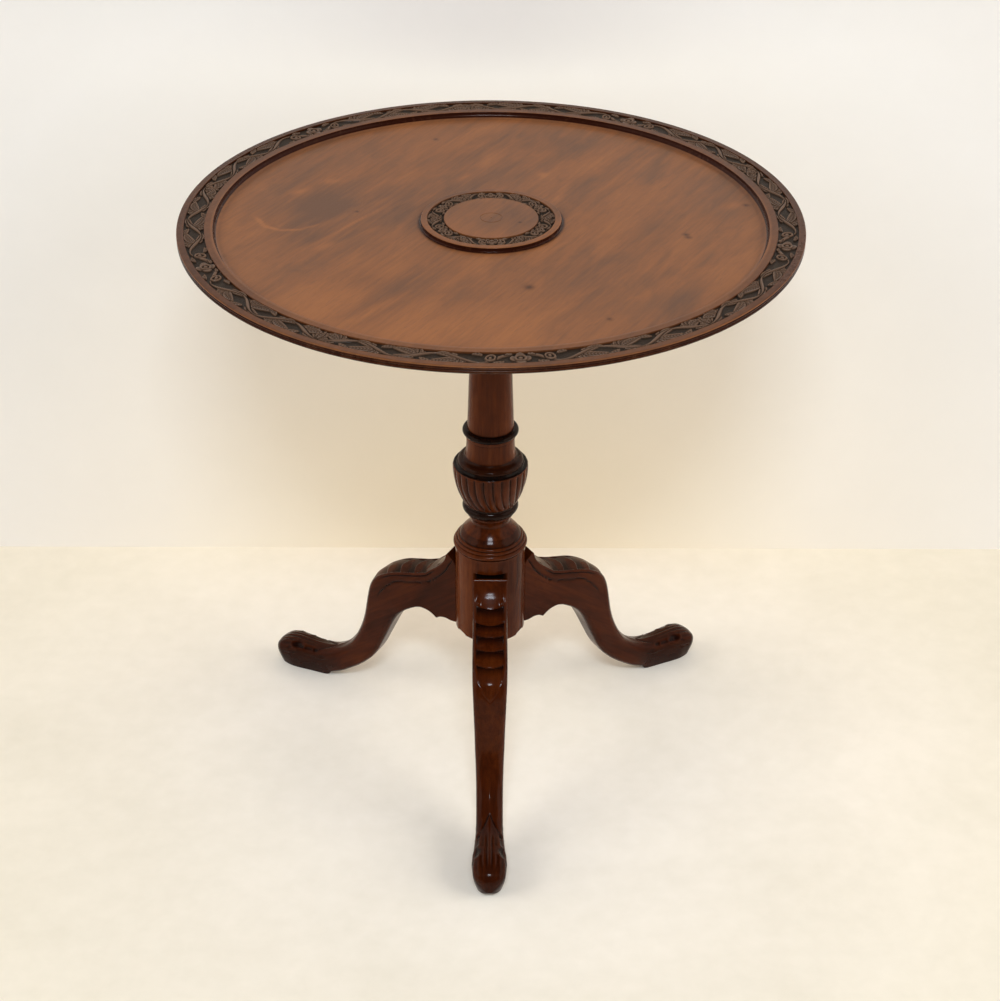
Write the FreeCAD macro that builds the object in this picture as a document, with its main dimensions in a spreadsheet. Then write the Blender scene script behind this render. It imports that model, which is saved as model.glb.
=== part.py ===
import FreeCAD, Part
import math
import os
import re
import Sketcher

# Occasional table: a round dished top that tilts on a block, over a turned pillar
# that stands on three cabriole legs. All sizes are in millimetres.
# +Z is up, +X is to the right, and the front leg points to -Y.
# The origin is on the floor, under the axis of the pillar.

SIZES = {
    # whole table
    "table_height": 708.0,
    "cut_overrun": 2.0,
    "glue_gap": 0.05,
    "running_gap": 0.08,
    "board_gap": 0.3,
    # top board, from the rim inwards
    "rim_radius": 340.0,
    "board_thickness": 18.0,
    "nosing_height": 1.8,
    "upper_bead_height": 2.7,
    "lower_bead_height": 3.9,
    "edge_quirk_depth": 1.2,
    "underside_bevel_inset": 8.0,
    "underside_bevel_width": 36.0,
    "outer_fillet_width": 7.6,
    "rim_band_width": 22.0,
    "rim_band_sink": 1.2,
    "inner_fillet_width": 9.4,
    "dish_depth": 7.0,
    "dish_cove_width": 6.2,
    "dish_cove_share": 0.28,
    # raised roundel in the middle of the top board
    "roundel_radius": 76.7,
    "roundel_rise": 5.2,
    "roundel_arris": 0.8,
    "roundel_foot_cove": 1.8,
    "roundel_fillet_width": 6.9,
    "roundel_band_width": 18.4,
    "roundel_band_sink": 1.2,
    "centre_ring_radius": 12.0,
    "centre_ring_width": 1.2,
    "centre_ring_depth": 0.5,
    # block on top of the pillar
    "block_width": 130.0,
    "block_height": 30.0,
    "block_front_reach": 65.0,
    "tenon_radius": 17.0,
    "tenon_recess": 0.6,
    "tenon_wedge_length": 26.0,
    "tenon_wedge_height": 22.0,
    "tenon_wedge_thick_end": 4.2,
    "tenon_wedge_thin_end": 1.6,
    # bearers under the top board and the pins that it tilts on
    "bearer_width": 24.0,
    "bearer_height": 30.0,
    "bearer_half_length": 235.0,
    "bearer_bevel_length": 60.0,
    "bearer_end_height": 14.0,
    "bearer_side_gap": 0.4,
    "pivot_pin_radius": 7.0,
    "pivot_pin_depth": 28.0,
    "pivot_setback": 50.3,
    # pillar, from its underside upwards
    "pillar_foot_level": 162.0,
    "drum_radius": 42.0,
    "drum_height": 118.0,
    "drum_chamfer": 1.5,
    "collar_quirk_height": 1.6,
    "collar_quirk_radius": 40.8,
    "collar_height": 6.2,
    "collar_root_radius": 42.6,
    "collar_bulge": 1.8,
    "bead_height": 3.4,
    "bead_bulge": 0.9,
    "lower_bead_radius": 42.0,
    "middle_bead_radius": 39.5,
    "bulb_foot_radius": 36.8,
    "bulb_height": 10.0,
    "bulb_bulge": 1.3,
    "bulb_waist_radius": 27.3,
    "neck_height": 10.6,
    "neck_radius": 23.7,
    "neck_hollow": 0.9,
    "neck_rise": 11.0,
    "neck_top_radius": 27.4,
    "ring_fillet_height": 1.8,
    "ring_fillet_radius": 28.3,
    "ring_underside_height": 3.2,
    "ring_root_radius": 31.2,
    "ring_height": 9.2,
    "ring_bulge": 2.1,
    "urn_groove_height": 3.2,
    "urn_groove_radius": 30.8,
    "urn_foot_radius": 32.3,
    "urn_height": 47.4,
    "urn_bulge": 3.05,
    "urn_radius": 44.4,
    "urn_lip_height": 3.4,
    "urn_lip_radius": 42.8,
    "urn_lip_bulge": 0.7,
    "shoulder_quirk_height": 2.9,
    "shoulder_quirk_radius": 40.6,
    "shoulder_quirk_top_radius": 39.2,
    "shoulder_bead_height": 5.8,
    "shoulder_bead_radius": 38.6,
    "shoulder_bead_top_radius": 33.6,
    "shoulder_bead_bulge": 1.2,
    "cavetto_height": 5.3,
    "cavetto_foot_radius": 32.6,
    "cavetto_top_radius": 29.3,
    "cavetto_hollow": 0.8,
    "throat_height": 20.4,
    "throat_top_radius": 28.3,
    "throat_hollow": 0.4,
    "astragal_fillet_height": 4.1,
    "astragal_fillet_radius": 29.5,
    "astragal_height": 11.0,
    "astragal_root_radius": 28.0,
    "astragal_bulge": 4.8,
    "shaft_foot_radius": 27.0,
    "shaft_top_radius": 20.8,
    "cap_bead_height": 6.0,
    "cap_bead_radius": 21.6,
    "cap_bead_bulge": 2.6,
    "cap_cove_height": 16.0,
    "cap_cove_hollow": 2.2,
    "cap_radius": 31.0,
    "cap_square_height": 5.0,
    # legs
    "leg_reach": 316.7,
    "leg_thickness": 41.0,
    "tongue_rise": 98.0,
    "seat_slot_height": 99.4,
    "seat_side_gap": 0.3,
    "dovetail_height": 80.0,
    "dovetail_depth": 13.0,
    "dovetail_neck": 16.0,
    "dovetail_tail": 22.0,
    "dovetail_gap": 0.15,
    "front_leg_angle": -90.0,
    "right_leg_angle": 32.0,
    "left_leg_angle": 152.0,
    # iron plate under the pillar that ties the legs
    "brace_thickness": 2.4,
    "brace_hub_radius": 22.0,
    "brace_arm_width": 16.0,
    "brace_arm_reach": 50.0,
    "brace_inner_screw_reach": 30.0,
    "brace_outer_screw_reach": 43.5,
    "brace_screw_length": 16.0,
    # wood screws
    "screw_shank_radius": 1.6,
    "screw_head_radius": 3.2,
    "screw_head_height": 1.6,
    "bearer_screw_shank_radius": 2.4,
    "bearer_screw_head_radius": 4.6,
    "bearer_screw_head_height": 2.6,
    "bearer_screw_well_depth": 14.0,
    "bearer_screw_well_gap": 0.6,
    "bearer_screw_bite": 8.0,
    "bearer_inner_screw_place": 80.0,
    "bearer_outer_screw_place": 165.0,
    # spring catch under the front of the top board
    "catch_case_width": 34.0,
    "catch_case_length": 40.0,
    "catch_case_height": 13.0,
    "catch_wall": 1.6,
    "catch_flange_width": 10.0,
    "catch_case_gap": 1.6,
    "catch_slide_gap": 0.3,
    "catch_throw": 8.0,
    "catch_bolt_width": 14.0,
    "catch_bolt_height": 7.5,
    "catch_bolt_length": 19.0,
    "catch_bolt_inset": 1.0,
    "catch_bolt_bevel": 4.0,
    "catch_stem_radius": 1.8,
    "catch_stem_length": 30.0,
    "catch_post_radius": 2.6,
    "catch_post_place": 13.5,
    "catch_post_depth": 5.0,
    "catch_knob_radius": 6.0,
    "catch_knob_height": 7.0,
    "catch_knob_drop": 1.0,
    "catch_knob_edge": 2.4,
    "catch_screw_length": 8.0,
    "catch_screw_place": 13.0,
    "spring_wire_radius": 0.5,
    "spring_radius": 2.9,
    "spring_turns": 7.0,
    "spring_end_gap": 0.1,
    # striking plate let into the front of the block
    "keeper_width": 40.0,
    "keeper_height": 12.4,
    "keeper_thickness": 1.6,
    "keeper_screw_place": 14.5,
    "keeper_screw_length": 11.0,
    "keeper_mortise_depth": 10.0,
    "keeper_mortise_gap": 0.8,
}

# Places on a leg are shares: outwards of the way from the seat to the toe, and
# upwards of the height of the tongue over the floor.
# Each station below the knee has its upper place, its lower place, and then its half
# width and the radius of its corners as shares of half the leg's thickness.
LEG_STATION_SHARES = [
    (0.1833, 0.844, 0.1833, 0.635, 1.00, 0.12),
    (0.262, 0.819, 0.198, 0.629, 1.00, 0.19),
    (0.326, 0.796, 0.2155, 0.619, 1.00, 0.25),
    (0.380, 0.769, 0.237, 0.606, 1.00, 0.30),
    (0.419, 0.7365, 0.258, 0.590, 1.00, 0.35),
    (0.4475, 0.696, 0.280, 0.569, 0.985, 0.40),
    (0.4635, 0.650, 0.301, 0.546, 0.965, 0.44),
    (0.4745, 0.604, 0.3225, 0.515, 0.935, 0.46),
    (0.485, 0.546, 0.3475, 0.467, 0.89, 0.46),
    (0.4995, 0.473, 0.3745, 0.404, 0.83, 0.46),
    (0.517, 0.410, 0.408, 0.321, 0.79, 0.46),
    (0.537, 0.358, 0.437, 0.258, 0.765, 0.46),
    (0.567, 0.292, 0.4725, 0.206, 0.75, 0.45),
    (0.605, 0.2365, 0.519, 0.152, 0.755, 0.45),
    (0.651, 0.196, 0.587, 0.094, 0.79, 0.45),
    (0.694, 0.170, 0.6475, 0.048, 0.85, 0.45),
    (0.744, 0.154, 0.712, 0.006, 0.92, 0.44),
    (0.808, 0.149, 0.801, -0.002, 0.98, 0.43),
    (0.869, 0.150, 0.869, -0.002, 1.00, 0.42),
    (0.9225, 0.149, 0.9225, -0.002, 0.915, 0.38),
    (0.9635, 0.135, 0.962, 0.008, 0.66, 0.30),
    (0.9885, 0.1135, 0.987, 0.035, 0.36, 0.18),
    (1.000, 0.0885, 1.000, 0.0615, 0.12, 0.06),
]
# The leg's root: each row is a corner and, where an arc leads on to the next corner,
# a place that the arc runs through. A height of None is the pillar's underside.
LEG_ROOT_SHARES = [
    (0.000, None),
    (0.056, None, 0.083, 0.6165),
    (0.1012, 0.606, 0.137, 0.6275),
    (0.1833, 0.635),
    (0.1833, 0.844),
    (0.162, 0.852, 0.139, 0.874),
    (0.112, 0.890, 0.079, 0.941),
    (0.0495, 1.000),
    (0.039, 0.997, 0.0094, 0.979),
    (0.000, 0.948),
]

doc = FreeCAD.newDocument("occasional_table")
sheet = doc.addObject("Spreadsheet::Sheet", "sizes")
PARTS = []


# Sheet and expressions

def fill_sheet():
    """Write every driving size into the sheet as a number with an alias."""
    for row, (alias, value) in enumerate(SIZES.items(), start=1):
        sheet.set(f"A{row}", alias)
        sheet.set(f"B{row}", str(value))
        sheet.setAlias(f"B{row}", alias)
    doc.recompute()


def size(alias):
    """The sheet's value under this alias."""
    return float(getattr(sheet, alias))


def bound(text):
    """The expression that reads the aliases in this text from the sheet."""
    return re.sub(r"[a-z]+(?:_[a-z]+)+", lambda match: "sizes." + match.group(0), str(text))


def bind(thing, **texts):
    """Bind an object's properties to expressions."""
    for prop, text in texts.items():
        thing.setExpression(prop, bound(text))
    return thing


def place(thing, x, y, z, rotation=None):
    """Put an object at a place given by three expressions."""
    if rotation is not None:
        thing.Placement.Rotation = rotation
    for axis, text in (("x", x), ("y", y), ("z", z)):
        thing.setExpression(f"Placement.Base.{axis}", bound(text))
    return thing


def turned_by(axis, degrees):
    """A rotation about one of the main axes."""
    return FreeCAD.Rotation(FreeCAD.Vector(*axis), degrees)


ALONG_X = turned_by((0, 1, 0), 90)
ALONG_Y = turned_by((1, 0, 0), -90)
ALONG_Z_DOWN = turned_by((1, 0, 0), 180)


# Plain solids and booleans

def box(name, length, width, height, x, y, z):
    """A box with its lowest corner at x, y, z."""
    solid = doc.addObject("Part::Box", name)
    bind(solid, Length=length, Width=width, Height=height)
    return place(solid, x, y, z)


def rod(name, radius, height, x, y, z, rotation=None):
    """A cylinder that starts at x, y, z and runs up, or along its rotation."""
    solid = doc.addObject("Part::Cylinder", name)
    bind(solid, Radius=radius, Height=height)
    return place(solid, x, y, z, rotation)


def cone(name, radius_one, radius_two, height, x, y, z, rotation=None):
    """A cone that starts at x, y, z with its first radius."""
    solid = doc.addObject("Part::Cone", name)
    bind(solid, Radius1=radius_one, Radius2=radius_two, Height=height)
    return place(solid, x, y, z, rotation)


def tapered(name, x_range, y_range, z_range, far_x_range):
    """A block whose X range goes over to another one at its far Y side."""
    solid = doc.addObject("Part::Wedge", name)
    bind(solid, Xmin=x_range[0], Xmax=x_range[1], Ymin=y_range[0], Ymax=y_range[1])
    bind(solid, Zmin=z_range[0], Zmax=z_range[1], Z2min=z_range[0], Z2max=z_range[1])
    return bind(solid, X2min=far_x_range[0], X2max=far_x_range[1])


def fused(name, solids):
    """Several solids as one piece."""
    piece = doc.addObject("Part::MultiFuse", name)
    piece.Shapes = solids
    return piece


def grouped(name, solids):
    """Several separate solids under one name."""
    piece = doc.addObject("Part::Compound", name)
    piece.Links = solids
    return piece


def cut(name, base, tool):
    """A piece less a tool."""
    piece = doc.addObject("Part::Cut", name)
    piece.Base = base
    piece.Tool = tool
    return piece


def sub_part(label, thing):
    """Name a finished sub-part and list it for its file."""
    thing.Label = label
    PARTS.append(thing)
    return thing


# Sketches whose corners are locked by expressions

def corner_vector(body, x, y):
    """Where a corner given by two expressions lies in its sketch."""
    values = [float(body.evalExpression(bound(text))) for text in (x, y)]
    return FreeCAD.Vector(values[0], values[1], 0)


def add_edge(sketch, start, end, through):
    """Add a line, or an arc through a point, and return its index and its end numbers."""
    if through is None:
        return sketch.addGeometry(Part.LineSegment(start, end), False), 1, 2
    circle = Part.Circle(start, through, end)
    centre = circle.Center
    clockwise = (through - start).cross(end - through).z < 0
    first, last = (end, start) if clockwise else (start, end)
    begin = math.atan2(first.y - centre.y, first.x - centre.x)
    finish = math.atan2(last.y - centre.y, last.x - centre.x)
    if finish < begin:
        finish += 2 * math.pi
    round_edge = Part.Circle(centre, FreeCAD.Vector(0, 0, 1), circle.Radius)
    index = sketch.addGeometry(Part.ArcOfCircle(round_edge, begin, finish), False)
    return (index, 2, 1) if clockwise else (index, 1, 2)


def lock(sketch, index, end, x, y, at):
    """Hold one point of a sketch at two expressions."""
    origin_axes = (("DistanceX", x, at.x, -2), ("DistanceY", y, at.y, -1))
    for kind, text, value, axis in origin_axes:
        if text == "0":
            sketch.addConstraint(Sketcher.Constraint("PointOnObject", index, end, axis))
            continue
        held = sketch.addConstraint(Sketcher.Constraint(kind, -1, 1, index, end, value))
        sketch.setExpression(f"Constraints[{held}]", bound(text))


def outline(body, role, corners):
    """A closed sketch. A corner is (x, y), or (x, y, x, y) where an arc through the
    second point leads to the next corner."""
    sketch = body.newObject("Sketcher::SketchObject", body.Name + "_outline")
    plane = next(f for f in body.Origin.OriginFeatures if f.Role == role)
    sketch.AttachmentSupport = [(plane, "")]
    sketch.MapMode = "FlatFace"
    places = [corner_vector(body, *corner[:2]) for corner in corners]
    edges = []
    for number, corner in enumerate(corners):
        through = corner_vector(body, *corner[2:]) if len(corner) > 2 else None
        following = places[(number + 1) % len(corners)]
        edges.append(add_edge(sketch, places[number], following, through))
    for number, corner in enumerate(corners):
        index, start, end = edges[number]
        following, next_start, next_end = edges[(number + 1) % len(edges)]
        joined = Sketcher.Constraint("Coincident", index, end, following, next_start)
        sketch.addConstraint(joined)
        lock(sketch, index, start, *corner[:2], places[number])
        if len(corner) > 2:
            at = corner_vector(body, *corner[2:])
            point = sketch.addGeometry(Part.Point(at), True)
            lock(sketch, point, 1, *corner[2:], at)
            sketch.addConstraint(Sketcher.Constraint("PointOnObject", point, 1, index))
    return sketch


def turned(name, corners):
    """A piece turned about the Z axis from its half section."""
    body = doc.addObject("PartDesign::Body", name)
    sketch = outline(body, "XZ_Plane", corners)
    turning = body.newObject("PartDesign::Revolution", name + "_turning")
    turning.Profile = sketch
    axis = next(f for f in body.Origin.OriginFeatures if f.Role == "Z_Axis")
    turning.ReferenceAxis = (axis, [""])
    turning.Angle = 360
    return body


def padded(name, role, corners, thickness):
    """A piece sawn from a plank: its outline, padded evenly to both sides."""
    body = doc.addObject("PartDesign::Body", name)
    sketch = outline(body, role, corners)
    pad = body.newObject("PartDesign::Pad", name + "_pad")
    pad.Profile = sketch
    pad.SideType = "Symmetric"
    bind(pad, Length=thickness)
    return body


# Places that several pieces share, as expressions

BOARD_UNDERSIDE = "table_height - board_thickness"
DISH_FLOOR = "table_height - dish_depth"
BLOCK_TOP = "table_height - board_thickness - board_gap"
BLOCK_FOOT = f"{BLOCK_TOP} - block_height"
PIVOT_LEVEL = "table_height - board_thickness - block_height / 2"
SEAT_REACH = "sqrt(drum_radius ^ 2 - leg_thickness ^ 2 / 4)"
BEARER_PLACE = "block_width / 2 + bearer_side_gap + bearer_width / 2"
CATCH_BACK = "-block_front_reach - catch_case_gap"
CATCH_FRONT = f"{CATCH_BACK} - catch_case_length"
BOLT_FOOT = f"{BOARD_UNDERSIDE} - catch_case_height + catch_wall + catch_slide_gap"
BOLT_MIDDLE = f"{BOLT_FOOT} + catch_bolt_height / 2"
BOLT_NOSE = f"{CATCH_BACK} - catch_bolt_inset"
BOLT_SHOULDER = f"{BOLT_NOSE} - catch_bolt_length"
LEGS = {
    "leg_front": "front_leg_angle",
    "leg_left": "left_leg_angle",
    "leg_right": "right_leg_angle",
}


# Screws

def screw(name, kind, length, x, y, z, rotation=None):
    """A countersunk wood screw whose head is flush at x, y, z and which points up,
    or along its rotation."""
    shank = rod(name + "_shank", f"{kind}_shank_radius", length, x, y, z, rotation)
    head = cone(name + "_head", f"{kind}_head_radius", f"{kind}_shank_radius",
                f"{kind}_head_height", x, y, z, rotation)
    return fused(name, [shank, head])


def screw_hole(name, kind, length, x, y, z, rotation=None):
    """The pilot hole and countersink that such a screw fills."""
    shank = rod(name + "_shank", f"{kind}_shank_radius + glue_gap", f"{length} + glue_gap",
                x, y, z, rotation)
    head = cone(name + "_head", f"{kind}_head_radius + glue_gap",
                f"{kind}_shank_radius + glue_gap", f"{kind}_head_height", x, y, z, rotation)
    return fused(name, [shank, head])


def bearer_screw_places():
    """Where the bearers' screws stand, seen from below."""
    for side in ("", "-"):
        for end in ("", "-"):
            for place_name in ("bearer_inner_screw_place", "bearer_outer_screw_place"):
                yield f"{side}({BEARER_PLACE})", f"{end}{place_name}"


BEARER_SCREW_HEAD = f"{BOARD_UNDERSIDE} - bearer_height + bearer_screw_well_depth"
BEARER_SCREW_LENGTH = "bearer_height - bearer_screw_well_depth + bearer_screw_bite"


def make_bearer_screws():
    """The screws that hold the bearers to the top board."""
    screws = [screw(f"bearer_screw_{number}", "bearer_screw", BEARER_SCREW_LENGTH,
                    x, y, BEARER_SCREW_HEAD)
              for number, (x, y) in enumerate(bearer_screw_places())]
    return sub_part("bearer_screws", grouped("bearer_screw_set", screws))


# Top board

def board_corners():
    """Half section of the top board, from the middle of its underside outwards."""
    top = "table_height"
    edge = "rim_radius"
    quirk = "rim_radius - edge_quirk_depth"
    lower = "lower_bead_height"
    upper = "upper_bead_height"
    foot = f"{top} - nosing_height - {upper} - {lower}"
    band_outside = "rim_radius - outer_fillet_width"
    band_inside = f"{band_outside} - rim_band_width"
    lip = f"{band_inside} - inner_fillet_width"
    cove = "dish_cove_width"
    roundel_top = f"{DISH_FLOOR} + roundel_rise"
    roundel_band = "roundel_radius - roundel_fillet_width"
    roundel_plain = f"{roundel_band} - roundel_band_width"
    ring = "centre_ring_radius"
    return [
        ("0", BOARD_UNDERSIDE),
        (f"{quirk} - underside_bevel_inset - underside_bevel_width", BOARD_UNDERSIDE),
        (f"{quirk} - underside_bevel_inset", foot),
        (quirk, foot, edge, f"{foot} + {lower} / 2"),
        (quirk, f"{foot} + {lower}", edge, f"{foot} + {lower} + {upper} / 2"),
        (quirk, f"{top} - nosing_height"),
        ("rim_radius - nosing_height / 2", f"{top} - nosing_height",
         edge, f"{top} - nosing_height / 2"),
        ("rim_radius - nosing_height / 2", top),
        (band_outside, top),
        (band_outside, f"{top} - rim_band_sink"),
        (band_inside, f"{top} - rim_band_sink"),
        (band_inside, top),
        (lip, top, f"{lip} - {cove} * dish_cove_share",
         f"{DISH_FLOOR} + dish_depth * dish_cove_share"),
        (f"{lip} - {cove}", DISH_FLOOR),
        ("roundel_radius + roundel_foot_cove", DISH_FLOOR,
         "roundel_radius + roundel_foot_cove * dish_cove_share",
         f"{DISH_FLOOR} + roundel_foot_cove * dish_cove_share"),
        ("roundel_radius", f"{DISH_FLOOR} + roundel_foot_cove"),
        ("roundel_radius", f"{roundel_top} - roundel_arris"),
        ("roundel_radius - roundel_arris", roundel_top),
        (roundel_band, roundel_top),
        (roundel_band, f"{roundel_top} - roundel_band_sink"),
        (roundel_plain, f"{roundel_top} - roundel_band_sink"),
        (roundel_plain, roundel_top),
        (f"{ring} + centre_ring_width / 2", roundel_top),
        (ring, f"{roundel_top} - centre_ring_depth"),
        (f"{ring} - centre_ring_width / 2", roundel_top),
        ("0", roundel_top),
    ]


def make_top_board():
    """The dished top, turned from one board, with the pilot holes in its underside."""
    board = turned("board", board_corners())
    holes = [rod(f"board_pilot_{number}", "bearer_screw_shank_radius + glue_gap",
                 "bearer_screw_bite + glue_gap + cut_overrun", x, y,
                 f"{BOARD_UNDERSIDE} - cut_overrun")
             for number, (x, y) in enumerate(bearer_screw_places())]
    holes += [rod(f"board_catch_pilot_{number}", "screw_shank_radius + glue_gap",
                  "catch_screw_length + glue_gap - catch_wall + cut_overrun", x, y,
                  f"{BOARD_UNDERSIDE} - cut_overrun")
              for number, (x, y) in enumerate(catch_screw_places())]
    return sub_part("top_board", cut("board_drilled", board, fused("board_holes", holes)))


# Block, tenon wedge, bearers and pivot pins

def make_top_block():
    """The block on the pillar, rounded about the pivot so that the top can tilt."""
    front = "-block_front_reach"
    back = "pivot_setback + block_height / 2 - board_gap"
    block = padded("block", "YZ_Plane", [
        (front, BLOCK_FOOT),
        (back, BLOCK_FOOT),
        (back, PIVOT_LEVEL,
         "pivot_setback + (block_height / 2 - board_gap) * sqrt(0.5)",
         f"{PIVOT_LEVEL} + (block_height / 2 - board_gap) * sqrt(0.5)"),
        ("pivot_setback", BLOCK_TOP),
        (front, BLOCK_TOP),
    ], "block_width")
    tools = [rod("tenon_hole", "tenon_radius + glue_gap", "block_height + 2 * cut_overrun",
                 "0", "0", f"{BLOCK_FOOT} - cut_overrun")]
    starts = {
        "right": "block_width / 2 - pivot_pin_depth - glue_gap",
        "left": "-(block_width / 2) - cut_overrun",
    }
    for name, start in starts.items():
        tools.append(rod(f"pin_hole_{name}", "pivot_pin_radius + glue_gap",
                         "pivot_pin_depth + glue_gap + cut_overrun",
                         start, "pivot_setback", PIVOT_LEVEL, ALONG_X))
    tools += keeper_recess()
    return sub_part("top_block", cut("block_cut", block, fused("block_holes", tools)))


def make_tenon_wedge():
    """The wedge driven down into the pillar's tenon."""
    body = padded("wedge", "YZ_Plane", wedge_corners("0"), "tenon_wedge_length")
    return sub_part("tenon_wedge", body)


def wedge_corners(gap):
    """Outline of the tenon wedge, or of its kerf when a gap is given."""
    top = f"{BLOCK_TOP} - tenon_recess"
    foot = f"{top} - tenon_wedge_height - {gap}"
    thin = f"tenon_wedge_thin_end / 2 + {gap}"
    thick = f"tenon_wedge_thick_end / 2 + {gap}"
    return [(f"-({thin})", foot), (thin, foot), (thick, top), (f"-({thick})", top)]


def make_bearer(label, side):
    """One bearer: a straight batten with its ends bevelled below, bored for its pin."""
    foot = f"{BOARD_UNDERSIDE} - bearer_height"
    end = f"{BOARD_UNDERSIDE} - bearer_end_height"
    level = "bearer_half_length - bearer_bevel_length"
    batten = padded(label + "_batten", "YZ_Plane", [
        ("-bearer_half_length", end),
        (f"-({level})", foot),
        (level, foot),
        ("bearer_half_length", end),
        ("bearer_half_length", BOARD_UNDERSIDE),
        ("-bearer_half_length", BOARD_UNDERSIDE),
    ], "bearer_width")
    place(batten, f"{side}({BEARER_PLACE})", "0", "0")
    tools = [rod(label + "_pin_hole", "pivot_pin_radius + running_gap",
                 "bearer_width + 2 * cut_overrun",
                 f"{side}({BEARER_PLACE}) - bearer_width / 2 - cut_overrun",
                 "pivot_setback", PIVOT_LEVEL, ALONG_X)]
    places = [at for at in bearer_screw_places() if at[0].startswith("-") == (side == "-")]
    for number, (x, y) in enumerate(places):
        well = f"{label}_well_{number}"
        tools.append(rod(well, "bearer_screw_head_radius + bearer_screw_well_gap",
                         "bearer_screw_well_depth + cut_overrun", x, y, f"{foot} - cut_overrun"))
        tools.append(screw_hole(f"{label}_screw_hole_{number}", "bearer_screw",
                                f"{BEARER_SCREW_LENGTH} + cut_overrun", x, y, BEARER_SCREW_HEAD))
    return sub_part(label, cut(label + "_bored", batten, fused(label + "_holes", tools)))


def make_pivot_pin(label, side):
    """One pin, glued into the block's end, on which a bearer turns."""
    length = "pivot_pin_depth + bearer_side_gap + bearer_width"
    inner_end = "block_width / 2 - pivot_pin_depth"
    start = inner_end if side == "" else f"-({inner_end}) - ({length})"
    return sub_part(label, rod(label + "_rod", "pivot_pin_radius", length, start,
                               "pivot_setback", PIVOT_LEVEL, ALONG_X))


# Pillar

def pillar_members():
    """The pillar's mouldings upwards: height, radius below, radius above, bulge."""
    shaft = f"({BLOCK_FOOT}) - pillar_foot_level - drum_chamfer - ({SHAFT_OFFSET})"
    return [
        ("drum_chamfer", "drum_radius - drum_chamfer", "drum_radius", None),
        ("drum_height - drum_chamfer", "drum_radius", "drum_radius", None),
        ("collar_quirk_height", "collar_quirk_radius", "collar_quirk_radius", None),
        ("collar_height", "collar_root_radius", "collar_root_radius", "collar_bulge"),
        ("bead_height", "lower_bead_radius", "middle_bead_radius", "bead_bulge"),
        ("bead_height", "middle_bead_radius", "bulb_foot_radius", "bead_bulge"),
        ("bulb_height", "bulb_foot_radius", "bulb_waist_radius", "bulb_bulge"),
        ("neck_height", "bulb_waist_radius", "neck_radius", "-neck_hollow"),
        ("neck_rise", "neck_radius", "neck_top_radius", "-neck_hollow"),
        ("ring_fillet_height", "ring_fillet_radius", "ring_fillet_radius", None),
        ("ring_underside_height", "ring_fillet_radius", "ring_root_radius", None),
        ("ring_height", "ring_root_radius", "ring_root_radius", "ring_bulge"),
        ("urn_groove_height", "urn_groove_radius", "urn_groove_radius", None),
        ("urn_height", "urn_foot_radius", "urn_radius", "urn_bulge"),
        ("urn_lip_height", "urn_radius", "urn_lip_radius", "urn_lip_bulge"),
        ("shoulder_quirk_height", "shoulder_quirk_radius", "shoulder_quirk_top_radius", None),
        ("shoulder_bead_height", "shoulder_bead_radius", "shoulder_bead_top_radius",
         "shoulder_bead_bulge"),
        ("cavetto_height", "cavetto_foot_radius", "cavetto_top_radius", "-cavetto_hollow"),
        ("throat_height", "cavetto_top_radius", "throat_top_radius", "-throat_hollow"),
        ("astragal_fillet_height", "astragal_fillet_radius", "astragal_fillet_radius", None),
        ("astragal_height", "astragal_root_radius", "astragal_root_radius", "astragal_bulge"),
        (shaft, "shaft_foot_radius", "shaft_top_radius", None),
        ("cap_bead_height", "cap_bead_radius", "cap_bead_radius", "cap_bead_bulge"),
        ("cap_cove_height", "cap_bead_radius", "cap_radius", "-cap_cove_hollow"),
        ("cap_square_height", "cap_radius", "cap_radius", None),
        ("block_height - tenon_recess", "tenon_radius", "tenon_radius", None),
    ]


# All the heights that the plain shaft leaves to the mouldings above and below it.
SHAFT_OFFSET = " + ".join([
    "drum_height - drum_chamfer", "collar_quirk_height", "collar_height", "2 * bead_height",
    "bulb_height", "neck_height", "neck_rise", "ring_fillet_height", "ring_underside_height",
    "ring_height", "urn_groove_height", "urn_height", "urn_lip_height", "shoulder_quirk_height",
    "shoulder_bead_height", "cavetto_height", "throat_height", "astragal_fillet_height",
    "astragal_height", "cap_bead_height", "cap_cove_height", "cap_square_height",
])


def pillar_corners():
    """Half section of the pillar, from the middle of its underside upwards."""
    corners = [("0", "pillar_foot_level")]
    level = "pillar_foot_level"
    for height, below, above, bulge in pillar_members():
        foot = (below, level)
        if bulge is not None:
            foot += (f"({below} + {above}) / 2 + {bulge}", f"{level} + ({height}) / 2")
        if corners[-1][:2] == foot[:2]:
            corners.pop()
        corners.append(foot)
        level = f"{level} + {height}"
        corners.append((above, level))
    corners.append(("0", level))
    return corners


def around(thing, angle):
    """Turn an object about the pillar's axis to the angle that an alias holds."""
    thing.setExpression("Placement.Rotation.Angle", bound(angle))
    return thing


def dovetail(name, gap, overrun):
    """The dovetail of a leg that points to +X, grown all round by a gap."""
    tail = f"dovetail_tail / 2 + {gap}"
    neck = f"dovetail_neck / 2 + {gap}"
    solid = tapered(
        name,
        (f"-({tail})", tail),
        (f"{SEAT_REACH} - dovetail_depth - {gap}", f"{SEAT_REACH} + {overrun}"),
        (f"pillar_foot_level - {overrun}", f"pillar_foot_level + dovetail_height + {gap}"),
        (f"-({neck})", neck),
    )
    solid.Placement.Rotation = turned_by((0, 0, 1), -90)
    return solid


def socket_tools(label, angle):
    """The flat seat and the dovetail socket for one leg."""
    width = "(leg_thickness + 2 * seat_side_gap)"
    seat = box(label + "_seat", "drum_radius", width, "seat_slot_height + cut_overrun",
               SEAT_REACH, f"-{width} / 2", "pillar_foot_level - cut_overrun")
    socket = dovetail(label + "_socket", "dovetail_gap", "cut_overrun")
    return around(fused(label + "_cuts", [seat, socket]), angle)


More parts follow.
